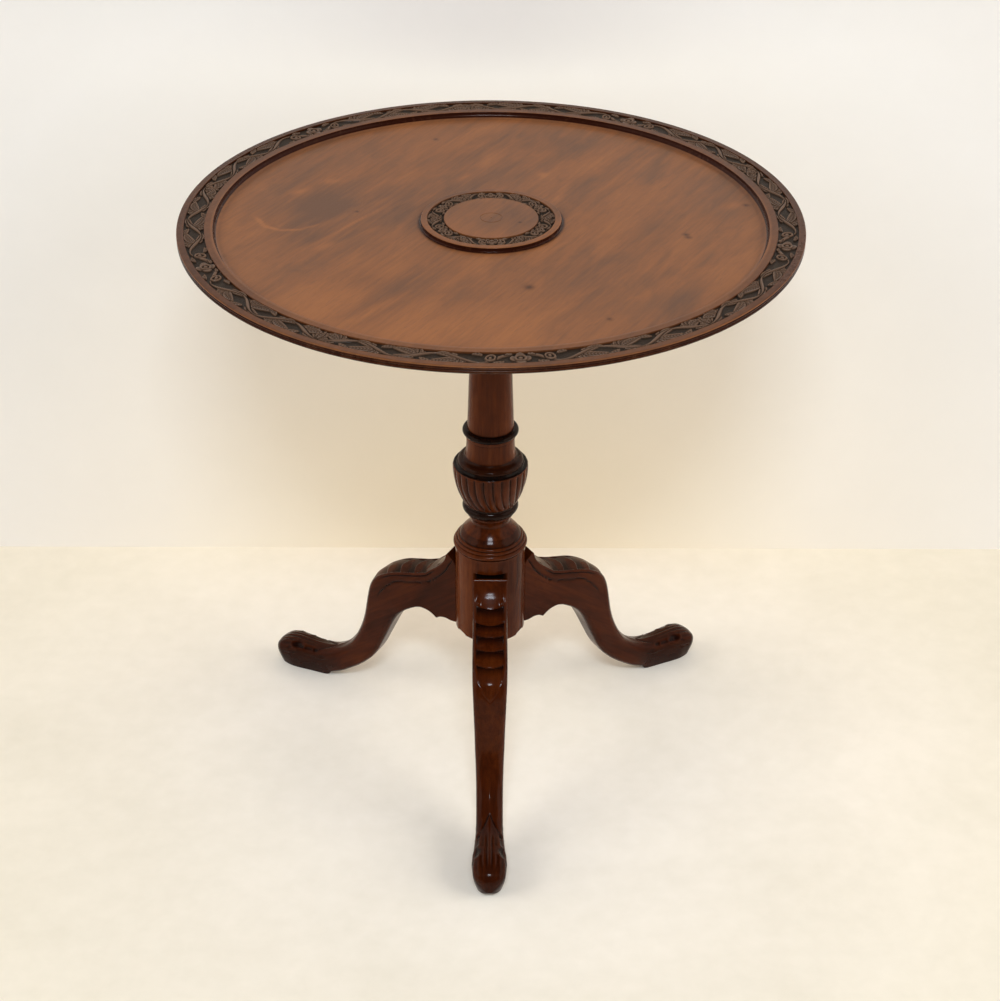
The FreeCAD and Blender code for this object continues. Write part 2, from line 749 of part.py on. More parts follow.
def make_pillar():
    """The turned pillar, cut for its legs and for its wedge."""
    pillar = turned("pillar_turned", pillar_corners())
    tools = [socket_tools(label, angle) for label, angle in LEGS.items()]
    tools.append(padded("wedge_kerf", "YZ_Plane", wedge_corners("glue_gap"),
                        "tenon_wedge_length + 2 * glue_gap"))
    return sub_part("pillar", cut("pillar_cut", pillar, fused("pillar_tools", tools)))


# Legs

def leg_place(out_share, up_share):
    """Expressions for a place on a leg that points to +X."""
    reach = f"{SEAT_REACH} + {out_share} * (leg_reach - {SEAT_REACH})"
    if up_share is None:
        return reach, "pillar_foot_level"
    return reach, f"{up_share} * (pillar_foot_level + tongue_rise)"


def leg_root(label):
    """The flat-sided root that is sawn with the tongue and bears on the pillar."""
    corners = []
    for row in LEG_ROOT_SHARES:
        corner = leg_place(*row[:2])
        if len(row) > 2:
            corner += leg_place(*row[2:])
        corners.append(corner)
    return padded(label + "_root", "XZ_Plane", corners, "leg_thickness")


def rounded_section(upper, lower, half_width, corner):
    """A closed wire with round corners between an upper and a lower point."""
    up = (upper - lower).normalize()
    across = FreeCAD.Vector(0, 1, 0)
    middle = (upper + lower) / 2
    half_height = (upper - lower).Length / 2
    flat_width = half_width - corner
    flat_height = half_height - corner
    bow = corner * math.sqrt(1 / 2)

    def at(side, rise):
        return middle + across * side + up * rise

    edges = []
    for side, rise in ((1, 1), (1, -1), (-1, -1), (-1, 1)):
        level = at(side * flat_width, rise * half_height)
        plumb = at(side * half_width, rise * flat_height)
        bend = at(side * (flat_width + bow), rise * (flat_height + bow))
        first, last = (level, plumb) if side == rise else (plumb, level)
        edges.append((first, bend, last))
    wire = []
    for number, (first, bend, last) in enumerate(edges):
        wire.append(Part.Arc(first, bend, last).toShape())
        wire.append(Part.LineSegment(last, edges[(number + 1) % len(edges)][0]).toShape())
    return Part.Wire(wire)


def leg_shape():
    """The carved knee, shin and foot of a leg that points to +X."""
    half_thickness = size("leg_thickness") / 2
    seat = math.sqrt(size("drum_radius") ** 2 - half_thickness ** 2)
    run = size("leg_reach") - seat
    rise = size("pillar_foot_level") + size("tongue_rise")
    wires = []
    for upper_out, upper_up, lower_out, lower_up, width, corner in LEG_STATION_SHARES:
        upper = FreeCAD.Vector(seat + upper_out * run, 0, upper_up * rise)
        lower = FreeCAD.Vector(seat + lower_out * run, 0, lower_up * rise)
        wires.append(rounded_section(upper, lower, width * half_thickness,
                                     corner * half_thickness))
    return Part.makeLoft(wires, True, False)


def make_leg(label, angle):
    """One leg: its sawn root, its carved knee and foot, and its dovetail."""
    carved = doc.addObject("Part::Feature", label + "_carved")
    carved.Shape = leg_shape()
    whole = fused(label + "_blank", [leg_root(label), carved, dovetail(label + "_tail", "0", "0")])
    tools = [box(label + "_floor", "2 * leg_reach", "2 * leg_reach", "cut_overrun",
                 "-leg_reach", "-leg_reach", "-cut_overrun")]
    for place_name in BRACE_SCREW_REACHES:
        tools.append(screw_hole(f"{label}_{place_name}", "screw", "brace_screw_length",
                                place_name, "0", BRACE_FOOT))
    leg = cut(label + "_trimmed", whole, fused(label + "_tools", tools))
    return sub_part(label, around(leg, angle))


# Iron plate under the pillar

BRACE_FOOT = "pillar_foot_level - brace_thickness"
BRACE_SCREW_REACHES = ("brace_inner_screw_reach", "brace_outer_screw_reach")


def make_brace_plate():
    """The three-armed iron plate, countersunk for its screws."""
    arms = [rod("brace_hub", "brace_hub_radius", "brace_thickness", "0", "0", BRACE_FOOT)]
    holes = []
    for label, angle in LEGS.items():
        bar = box(label + "_brace_bar", "brace_arm_reach - brace_arm_width / 2",
                  "brace_arm_width", "brace_thickness", "0", "-brace_arm_width / 2", BRACE_FOOT)
        tip = rod(label + "_brace_tip", "brace_arm_width / 2", "brace_thickness",
                  "brace_arm_reach - brace_arm_width / 2", "0", BRACE_FOOT)
        arms.append(around(fused(label + "_brace_arm", [bar, tip]), angle))
        pair = [screw_hole(f"{label}_{place_name}_in_plate", "screw", "brace_screw_length",
                           place_name, "0", BRACE_FOOT) for place_name in BRACE_SCREW_REACHES]
        holes.append(around(fused(label + "_brace_holes", pair), angle))
    return sub_part("brace_plate", cut("brace_bored", fused("brace_blank", arms),
                                       fused("brace_hole_set", holes)))


def make_brace_screws():
    """Two screws through each arm of the plate into its leg."""
    screws = []
    for label, angle in LEGS.items():
        for place_name in BRACE_SCREW_REACHES:
            one = screw(f"{label}_{place_name}_screw", "screw", "brace_screw_length",
                        place_name, "0", BRACE_FOOT)
            screws.append(around(one, angle))
    return sub_part("brace_screws", grouped("brace_screw_set", screws))


# Spring catch

def catch_screw_places():
    """Where the screws of the catch's case stand."""
    for side in ("", "-"):
        for end in ("+", "-"):
            yield (f"{side}(catch_case_width + catch_flange_width) / 2",
                   f"{CATCH_BACK} - catch_case_length / 2 {end} catch_screw_place")


def make_catch_case():
    """The brass case: a tray that opens against the board, with two flanges."""
    foot = f"{BOARD_UNDERSIDE} - catch_case_height"
    room = "(catch_case_width - 2 * catch_wall)"
    slot = "(catch_bolt_width + 2 * catch_slide_gap)"
    way = "(2 * catch_post_radius + catch_throw + 2 * catch_slide_gap)"
    tray = box("case_block", "catch_case_width", "catch_case_length", "catch_case_height",
               "-catch_case_width / 2", CATCH_FRONT, foot)
    flange_span = "(catch_case_width + 2 * catch_flange_width)"
    flanges = box("case_flanges", flange_span, "catch_case_length", "catch_wall",
                  f"-{flange_span} / 2", CATCH_FRONT, f"{BOARD_UNDERSIDE} - catch_wall")
    tools = [
        box("case_room", room, "catch_case_length - 2 * catch_wall",
            "catch_case_height - catch_wall + cut_overrun",
            f"-{room} / 2", f"{CATCH_FRONT} + catch_wall", f"{foot} + catch_wall"),
        box("case_bolt_slot", slot, "catch_wall + 2 * cut_overrun",
            "catch_bolt_height + 2 * catch_slide_gap", f"-{slot} / 2",
            f"{CATCH_BACK} - catch_wall - cut_overrun", f"{foot} + catch_wall"),
        box("case_post_slot", "2 * catch_post_radius + 2 * catch_slide_gap", way,
            "catch_wall + 2 * cut_overrun", "-catch_post_radius - catch_slide_gap",
            f"{BOLT_NOSE} - catch_post_place - catch_post_radius - catch_slide_gap",
            f"{foot} - cut_overrun"),
        rod("case_stem_hole", "catch_stem_radius + catch_slide_gap",
            "catch_wall + 2 * cut_overrun", "0", f"{CATCH_FRONT} - cut_overrun",
            BOLT_MIDDLE, ALONG_Y),
    ]
    for number, (x, y) in enumerate(catch_screw_places()):
        tools.append(screw_hole(f"case_screw_hole_{number}", "screw", "catch_screw_length",
                                x, y, f"{BOARD_UNDERSIDE} - catch_wall"))
    return sub_part("catch_case", cut("case_cut", fused("case_blank", [tray, flanges]),
                                      fused("case_tools", tools)))


def make_catch_screws():
    """The four screws that hold the case to the board."""
    screws = [screw(f"catch_screw_{number}", "screw", "catch_screw_length", x, y,
                    f"{BOARD_UNDERSIDE} - catch_wall")
              for number, (x, y) in enumerate(catch_screw_places())]
    return sub_part("catch_screws", grouped("catch_screw_set", screws))


def make_catch_bolt():
    """The sliding bolt, bevelled below its nose, with the stem that guides it."""
    bolt = padded("bolt_block", "YZ_Plane", [
        (BOLT_SHOULDER, BOLT_FOOT),
        (f"{BOLT_NOSE} - catch_bolt_bevel", BOLT_FOOT),
        (BOLT_NOSE, f"{BOLT_FOOT} + catch_bolt_bevel"),
        (BOLT_NOSE, f"{BOLT_FOOT} + catch_bolt_height"),
        (BOLT_SHOULDER, f"{BOLT_FOOT} + catch_bolt_height"),
    ], "catch_bolt_width")
    stem = rod("bolt_stem", "catch_stem_radius", "catch_stem_length", "0",
               f"{BOLT_SHOULDER} - catch_stem_length", BOLT_MIDDLE, ALONG_Y)
    socket = rod("bolt_socket", "catch_post_radius + glue_gap",
                 "catch_post_depth + glue_gap + cut_overrun", "0",
                 f"{BOLT_NOSE} - catch_post_place", f"{BOLT_FOOT} - cut_overrun")
    return sub_part("catch_bolt", cut("bolt_bored", fused("bolt_blank", [bolt, stem]), socket))


def make_catch_knob():
    """The turned knob under the case, with the post that screws into the bolt."""
    top = f"{BOARD_UNDERSIDE} - catch_case_height - catch_knob_drop"
    foot = f"{top} - catch_knob_height"
    post_top = f"{BOLT_FOOT} + catch_post_depth"
    knob = turned("knob_turned", [
        ("0", foot),
        ("catch_knob_radius - catch_knob_edge", foot,
         "catch_knob_radius - catch_knob_edge * (1 - sqrt(0.5))",
         f"{foot} + catch_knob_edge * (1 - sqrt(0.5))"),
        ("catch_knob_radius", f"{foot} + catch_knob_edge"),
        ("catch_knob_radius", f"{top} - catch_knob_edge"),
        ("catch_post_radius", top),
        ("catch_post_radius", post_top),
        ("0", post_top),
    ])
    place(knob, "0", f"{BOLT_NOSE} - catch_post_place", "0")
    return sub_part("catch_knob", knob)


def make_catch_spring():
    """The coil on the bolt's stem, pressed between its shoulder and the case."""
    coil = doc.addObject("Part::Helix", "spring_line")
    front = f"{CATCH_FRONT} + catch_wall + spring_wire_radius + spring_end_gap"
    back = f"{BOLT_SHOULDER} - spring_wire_radius - spring_end_gap"
    bind(coil, Height=f"({back}) - ({front})", Radius="spring_radius",
         Pitch=f"(({back}) - ({front})) / spring_turns")
    wire = doc.addObject("Part::Circle", "spring_wire")
    bind(wire, Radius="spring_wire_radius")
    place(wire, "spring_radius", "0", "0", turned_by((1, 0, 0), 90))
    spring = doc.addObject("Part::Sweep", "spring_coil")
    spring.Sections = [wire]
    spring.Spine = (coil, [])
    spring.Solid = True
    spring.Frenet = True
    place(spring, "0", front, BOLT_MIDDLE, ALONG_Y)
    return sub_part("catch_spring", spring)


# Striking plate of the catch

def keeper_slot(name, start, depth):
    """The hole that the bolt's nose enters, from a place inwards."""
    width = "(catch_bolt_width + 2 * keeper_mortise_gap)"
    height = "(catch_bolt_height + 2 * keeper_mortise_gap)"
    return box(name, width, depth, height, f"-{width} / 2", start, f"{BOLT_MIDDLE} - {height} / 2")


def keeper_screw_places():
    """Where the two screws of the striking plate stand."""
    return ("keeper_screw_place", "-keeper_screw_place")


def keeper_recess():
    """What the block loses for the striking plate, its screws and the bolt's nose."""
    tools = [
        box("keeper_seat", "keeper_width + 2 * glue_gap",
            "keeper_thickness + glue_gap + cut_overrun", "keeper_height + 2 * glue_gap",
            "-keeper_width / 2 - glue_gap", "-block_front_reach - cut_overrun",
            f"{BOLT_MIDDLE} - keeper_height / 2 - glue_gap"),
        keeper_slot("keeper_mortise", "-block_front_reach", "keeper_mortise_depth"),
    ]
    for number, x in enumerate(keeper_screw_places()):
        tools.append(screw_hole(f"keeper_pilot_{number}", "screw", "keeper_screw_length",
                                x, "-block_front_reach", BOLT_MIDDLE, ALONG_Y))
    return tools


def make_keeper_plate():
    """The brass striking plate, let in flush."""
    plate = box("keeper_blank", "keeper_width", "keeper_thickness", "keeper_height",
                "-keeper_width / 2", "-block_front_reach",
                f"{BOLT_MIDDLE} - keeper_height / 2")
    tools = [keeper_slot("keeper_opening", "-block_front_reach - cut_overrun",
                         "keeper_thickness + 2 * cut_overrun")]
    for number, x in enumerate(keeper_screw_places()):
        tools.append(screw_hole(f"keeper_hole_{number}", "screw", "keeper_screw_length",
                                x, "-block_front_reach", BOLT_MIDDLE, ALONG_Y))
    return sub_part("keeper_plate", cut("keeper_cut", plate, fused("keeper_tools", tools)))


def make_keeper_screws():
    """The two screws of the striking plate."""
    screws = [screw(f"keeper_screw_{number}", "screw", "keeper_screw_length",
                    x, "-block_front_reach", BOLT_MIDDLE, ALONG_Y)
              for number, x in enumerate(keeper_screw_places())]
    return sub_part("keeper_screws", grouped("keeper_screw_set", screws))


# Building, checking and writing

def make_everything():
    """Make every sub-part in the order in which the table is put together."""
    make_pillar()
    for label, angle in LEGS.items():
        make_leg(label, angle)
    make_brace_plate()
    make_brace_screws()
    make_top_block()
    make_tenon_wedge()
    make_keeper_plate()
    make_keeper_screws()
    for name, side in (("left", "-"), ("right", "")):
        make_pivot_pin("pivot_pin_" + name, side)
        make_bearer("bearer_" + name, side)
    make_bearer_screws()
    make_catch_case()
    make_catch_screws()
    make_catch_bolt()
    make_catch_spring()
    make_catch_knob()
    make_top_board()


def check_everything():
    """Stop where an object failed or a sub-part has no sound solid."""
    for thing in doc.Objects:
        if "Invalid" in thing.State or "Error" in thing.State:
            raise RuntimeError(f"{thing.Name} did not compute: {thing.State}")
    for part in PARTS:
        if part.Shape.isNull() or not part.Shape.isValid() or not part.Shape.Solids:
            raise RuntimeError(f"{part.Label} has no sound solid")


def write_everything():
    """Write each sub-part to its own file."""
    os.makedirs("parts", exist_ok=True)
    for part in PARTS:
        part.Shape.exportStep(f"parts/{part.Label}.step")
        box_of_part = part.Shape.BoundBox
        print(f"{part.Label}: {len(part.Shape.Solids)} solids, volume {part.Shape.Volume:.1f}, "
              f"x {box_of_part.XMin:.2f} to {box_of_part.XMax:.2f}, "
              f"y {box_of_part.YMin:.2f} to {box_of_part.YMax:.2f}, "
              f"z {box_of_part.ZMin:.2f} to {box_of_part.ZMax:.2f}")


fill_sheet()
make_everything()
doc.recompute()
check_everything()
write_everything()
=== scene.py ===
"""Occasional table: carved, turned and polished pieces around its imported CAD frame.

All sizes in the classes are in millimetres. Meshes are written in metres, in the
frame of the CAD: +Z up, the front leg towards -Y, the origin on the floor.
"""

import logging
import math
from collections.abc import Callable, Sequence
from dataclasses import dataclass
from enum import Enum
from itertools import pairwise

import bpy
import numpy as np
from mathutils import Matrix, Vector


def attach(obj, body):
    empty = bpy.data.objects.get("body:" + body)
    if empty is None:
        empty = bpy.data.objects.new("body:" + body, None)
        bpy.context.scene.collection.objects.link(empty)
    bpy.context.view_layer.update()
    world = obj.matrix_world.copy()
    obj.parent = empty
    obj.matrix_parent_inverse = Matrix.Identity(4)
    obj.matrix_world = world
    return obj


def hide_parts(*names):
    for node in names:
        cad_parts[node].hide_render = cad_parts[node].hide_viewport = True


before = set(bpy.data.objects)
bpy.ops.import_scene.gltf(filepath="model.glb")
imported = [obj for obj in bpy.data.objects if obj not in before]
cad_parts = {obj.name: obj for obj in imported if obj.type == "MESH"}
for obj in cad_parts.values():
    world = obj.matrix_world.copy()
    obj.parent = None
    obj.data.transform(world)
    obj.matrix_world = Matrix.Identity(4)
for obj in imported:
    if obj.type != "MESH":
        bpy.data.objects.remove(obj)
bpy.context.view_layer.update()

LOG = logging.getLogger("table")
MM = 0.001
FULL_TURN = 2.0 * math.pi
SHARP_ANGLE = math.radians(38.0)
TINY = 1e-9  # keeps a division by a length of nothing from failing

Array = np.ndarray
Colour = tuple[float, float, float]
Place = tuple[float, float]
Pair = tuple[float, float]
Row = tuple[float, ...]
Spot = tuple[float, float, float]
Piece = bpy.types.Object
Material = bpy.types.Material
Socket = bpy.types.NodeSocket

# The carved bands and the levels that the board and its borders share
RIM_BAND = (310.4, 332.4)
RIM_LEVEL = 708.0
ROUNDEL_BAND = (51.4, 69.8)
ROUNDEL_LEVEL = 706.2
BAND_SINK = 2.9


# Shaping helpers

def smoothstep(low: float, high: float, value: Array) -> Array:
    """Ease from 0 at low to 1 at high.

    Args:
        low: Where the result is still 0.
        high: Where the result reaches 1.
        value: The values to ease.

    Returns:
        The eased values, from 0 to 1.
    """
    t = np.clip((value - low) / (high - low), 0.0, 1.0)
    return t * t * (3.0 - 2.0 * t)


def between(start: float, full: float, fade: float, end: float, value: Array) -> Array:
    """1 from full to fade and 0 before start and after end, eased at both ends."""
    return smoothstep(start, full, value) * smoothstep(end, fade, value)


def hill(value: Array, middle: Array | float, half: float, power: int = 2) -> Array:
    """A smooth hill of height 1 over a middle; a higher power gives it steeper sides."""
    return np.exp(-(((value - middle) / half) ** power))


def clamped(value: Array) -> Array:
    """A value held between 0 and 1."""
    return np.clip(value, 0.0, 1.0)


def turned_from(azimuth: Array, degrees: float) -> Array:
    """How far azimuths in radians lie from one in degrees, from -pi to pi."""
    return (azimuth - math.radians(degrees) + math.pi) % FULL_TURN - math.pi


def turned_frame(along: Array, across: Array, degrees: float) -> tuple[Array, Array]:
    """Places in a frame that is turned by so many degrees."""
    turn = math.radians(degrees)
    return (along * math.cos(turn) + across * math.sin(turn),
            -along * math.sin(turn) + across * math.cos(turn))


def ring_angles(columns: int) -> Array:
    """Azimuths of evenly spaced columns round a full turn."""
    return np.arange(columns) / columns * FULL_TURN


def ring_points(radius: Array, azimuth: Array, height: Array) -> Array:
    """Points from their radius, azimuth and height."""
    return np.stack([radius * np.cos(azimuth), radius * np.sin(azimuth), height], axis=-1)


def running(steps: Array) -> Array:
    """The distance from the first point to each point, given the steps between them."""
    return np.concatenate([[0.0], np.cumsum(steps)])


def eased_curve(knots: Array, values: Array, at: Array) -> Array:
    """Interpolate smoothly without overshoot.

    Args:
        knots: Rising places of the known values.
        values: The known values, one per knot.
        at: Places to read.

    Returns:
        The values there.
    """
    step = np.diff(knots)
    slope = np.diff(values) / step
    tangent = np.zeros_like(values)
    same = slope[:-1] * slope[1:] > 0
    left, right = slope[:-1][same], slope[1:][same]
    weight_left = (2 * step[1:] + step[:-1])[same]
    weight_right = (step[1:] + 2 * step[:-1])[same]
    tangent[1:-1][same] = (weight_left + weight_right) / (weight_left / left + weight_right / right)
    tangent[0], tangent[-1] = slope[0], slope[-1]
    cell = np.clip(np.searchsorted(knots, at, side="right") - 1, 0, len(step) - 1)
    t = (at - knots[cell]) / step[cell]
    rise = step[cell]
    return ((2 * t**3 - 3 * t**2 + 1) * values[cell] + (t**3 - 2 * t**2 + t) * rise * tangent[cell]
            + (3 * t**2 - 2 * t**3) * values[cell + 1] + (t**3 - t**2) * rise * tangent[cell + 1])


def arc_points(start: Place, through: Place, end: Place, steps: int) -> list[Place]:
    """Points along the circular arc through three places, without its start.

    Args:
        start: Where the arc begins.
        through: A place on the arc.
        end: Where the arc ends.
        steps: How many points to give, the last one at the end.

    Returns:
        The points in order.
    """
    (ax, ay), (bx, by), (cx, cy) = start, through, end
    twice = 2.0 * (ax * (by - cy) + bx * (cy - ay) + cx * (ay - by))
    a2, b2, c2 = ax * ax + ay * ay, bx * bx + by * by, cx * cx + cy * cy
    ox = (a2 * (by - cy) + b2 * (cy - ay) + c2 * (ay - by)) / twice
    oy = (a2 * (cx - bx) + b2 * (ax - cx) + c2 * (bx - ax)) / twice
    radius = math.hypot(ax - ox, ay - oy)
    first = math.atan2(ay - oy, ax - ox)
    sweep = (math.atan2(cy - oy, cx - ox) - first) % FULL_TURN
    middle = (math.atan2(by - oy, bx - ox) - first) % FULL_TURN
    if middle > sweep:
        sweep -= FULL_TURN
    angles = [first + sweep * number / steps for number in range(1, steps + 1)]
    return [(ox + radius * math.cos(angle), oy + radius * math.sin(angle)) for angle in angles]


def moulding(members: Sequence[tuple]) -> Array:
    """A section drawn as corners and arcs.

    Args:
        members: (r, z) for a corner, or (r, z, through_r, through_z, steps) for the
            end of an arc that starts at the member before it.

    Returns:
        The section's points, one row each.
    """
    points = [members[0][:2]]
    for member in members[1:]:
        if len(member) == 2:
            points.append(member)
        else:
            points += arc_points(points[-1], member[2:4], member[:2], member[4])
    return np.array(points, dtype=float)


def refined(section: Array, spacing: float) -> Array:
    """Add points to a section wherever its corners stand further apart than the spacing.

    Args:
        section: Points, one row each.
        spacing: The greatest distance between two points.

    Returns:
        The section with the points added.
    """
    points = [section[:1]]
    for start, end in pairwise(section):
        parts = max(1, math.ceil(float(np.linalg.norm(end - start)) / spacing))
        shares = (np.arange(parts) + 1)[:, None] / parts
        points.append(start + (end - start) * shares)
    return np.concatenate(points)


def hollowness_and_proudness(section: Array, reach: float, depth: float) -> tuple[Array, Array]:
    """Where a turned section is hollow and where it stands proud.

    Args:
        section: (r, z) points.
        reach: How far along the section its local average runs, each way.
        depth: The distance from that average that counts in full.

    Returns:
        Two arrays from 0 to 1: hollowness and proudness.
    """
    along = running(np.linalg.norm(np.diff(section, axis=0), axis=1))
    weight = hill(along[:, None], along[None, :], reach) * np.gradient(along)[None, :]
    mean = weight @ section / weight.sum(axis=1)[:, None]
    tangent = np.gradient(section, axis=0)
    tangent /= np.linalg.norm(tangent, axis=1)[:, None] + TINY
    outward = np.stack([tangent[:, 1], -tangent[:, 0]], axis=1)
    proud = np.sum((section - mean) * outward, axis=1) / depth
    return clamped(-proud), clamped(proud)


# Meshes

def placed(name: str, data: bpy.types.ID) -> Piece:
    """Put a new object that holds this data in the scene."""
    thing = bpy.data.objects.new(name, data)
    bpy.context.scene.collection.objects.link(thing)
    return thing


# How old polish and painted shade darken turned work, in millimetres: how far round a point
# counts for it, how hollow is fully dark, and how deep a cut is fully dark
HOLLOW_REACH = 2.6
HOLLOW_DEPTH = 0.9
BLACKENED_CUT = 2.2


def skin(name: str, rows: Array, polish_and_shade: Array | None = None, rub_and_highlight: Array | None = None,
         closed_rows: bool = False) -> Piece:
    """Make a closed mesh from rings of points.

    Args:
        name: Name of the new object.
        rows: Rings of points in millimetres, shaped (rings, points, 3).
        polish_and_shade: How dark each point is made by old polish and painted shade, 0 to 1.
        rub_and_highlight: How far each point is made lighter by wear and a painted highlight, 0 to
            1.
        closed_rows: Whether the last ring joins the first one. Otherwise both ends
            are closed by a fan.

    Returns:
        The new object.
    """
    rings, around, _ = rows.shape
    points = rows.reshape(-1, 3)
    extras = []
    if not closed_rows:
        extras = [rows[0].mean(axis=0), rows[-1].mean(axis=0)]
        points = np.concatenate([points, np.array(extras)])
    row = np.arange(rings if closed_rows else rings - 1)[:, None]
    column = np.arange(around)[None, :]
    nearby = (column + 1) % around
    above = (row + 1) % rings
    quads = np.stack([row * around + column, row * around + nearby,
                      above * around + nearby, above * around + column], axis=-1).reshape(-1, 4)
    corners = [quads.reshape(-1)]
    counts = [np.full(len(quads), 4)]
    if extras:
        ring = np.arange(around)
        onward = (ring + 1) % around
        start_pole = np.full(around, rings * around)
        top = (rings - 1) * around
        for fan in ([onward, ring, start_pole], [top + ring, top + onward, start_pole + 1]):
            corners.append(np.stack(fan, axis=1).reshape(-1))
        counts.append(np.full(2 * around, 3))
    corner_list = np.concatenate(corners).astype(np.int32)
    count_list = np.concatenate(counts).astype(np.int32)
    starts = np.concatenate([[0], np.cumsum(count_list)[:-1]]).astype(np.int32)
    mesh = bpy.data.meshes.new(name)
    mesh.vertices.add(len(points))
    mesh.vertices.foreach_set("co", (points * MM).astype(np.float32).reshape(-1))
    mesh.loops.add(len(corner_list))
    mesh.loops.foreach_set("vertex_index", corner_list)
    mesh.polygons.add(len(count_list))
    mesh.polygons.foreach_set("loop_start", starts)
    mesh.polygons.foreach_set("loop_total", count_list)
    mesh.polygons.foreach_set("use_smooth", np.ones(len(count_list), dtype=bool))
    for title, values in (("polish_and_shade", polish_and_shade), ("rub_and_highlight", rub_and_highlight)):
        if values is None:
            continue
        flat = np.concatenate([values.reshape(-1), np.zeros(len(extras))]).astype(np.float32)
        mesh.attributes.new(title, "FLOAT", "POINT").data.foreach_set("value", flat)
    mesh.update(calc_edges=True)
    mesh.validate()
    if signed_volume(points, quads) < 0:
        mesh.flip_normals()
    mesh.set_sharp_from_angle(angle=SHARP_ANGLE)
    return placed(name, mesh)


def signed_volume(points: Array, quads: Array) -> float:
    """The volume inside a mesh, negative where its faces look inwards."""
    a, b, c, d = (points[quads[:, corner]] for corner in range(4))
    triple = np.sum(a * np.cross(b, c), axis=1) + np.sum(a * np.cross(c, d), axis=1)
    return float(triple.sum() / 6.0)


def stain_and_shade(section: Array, stains_and_shade: Sequence[Row]) -> Array:
    """How dark old polish and painted shade make each point of a section.

    Args:
        section: (r, z) points.
        stains_and_shade: Zones as (least r, greatest r, least z, greatest z, darkness).

    Returns:
        The darkness at each point, 0 to 1.
    """
    dark = np.zeros(len(section))
    for least_r, greatest_r, least_z, greatest_z, amount in stains_and_shade:
        inside = ((section[:, 0] >= least_r) & (section[:, 0] <= greatest_r)
                  & (section[:, 1] >= least_z) & (section[:, 1] <= greatest_z))
        dark = np.where(inside, np.maximum(dark, amount), dark)
    return dark


def lathe(name: str, section: Array, angles: Array, stains_and_shade: Sequence[Row] = (),
          shape: Callable[[Array, Array, Array], tuple[Array, Array]] | None = None) -> Piece:
    """Turn a section about the Z axis.

    Args:
        name: Name of the new object.
        section: (r, z) points.
        angles: Azimuths of the columns, in radians.
        stains_and_shade: Zones darkened by old polish and painted shade, as for stain_and_shade.
        shape: Takes radius, height and azimuth grids and gives the worked radius and
            height.

    Returns:
        The new object.
    """
    radius, azimuth = np.meshgrid(section[:, 0], angles, indexing="ij")
    height = np.repeat(section[:, 1:2], len(angles), axis=1)
    polish_and_shade, rub_and_highlight = hollowness_and_proudness(section, HOLLOW_REACH, HOLLOW_DEPTH)
    polish_and_shade = np.maximum(polish_and_shade, stain_and_shade(section, stains_and_shade))
    polish_and_shade, rub_and_highlight = (np.repeat(marks[:, None], len(angles), axis=1) for marks in (polish_and_shade, rub_and_highlight))
    if shape is not None:
        worked, height = shape(radius, height, azimuth)
        polish_and_shade = clamped(polish_and_shade + clamped((radius - worked) / BLACKENED_CUT))
        radius = worked
    return skin(name, ring_points(radius, azimuth, height), polish_and_shade, rub_and_highlight)


# Finishes

# Places of the sockets of a colour mix node: factor, first and second colour, result
MIX_INPUTS = (0, 6, 7)
MIX_RESULT = 2


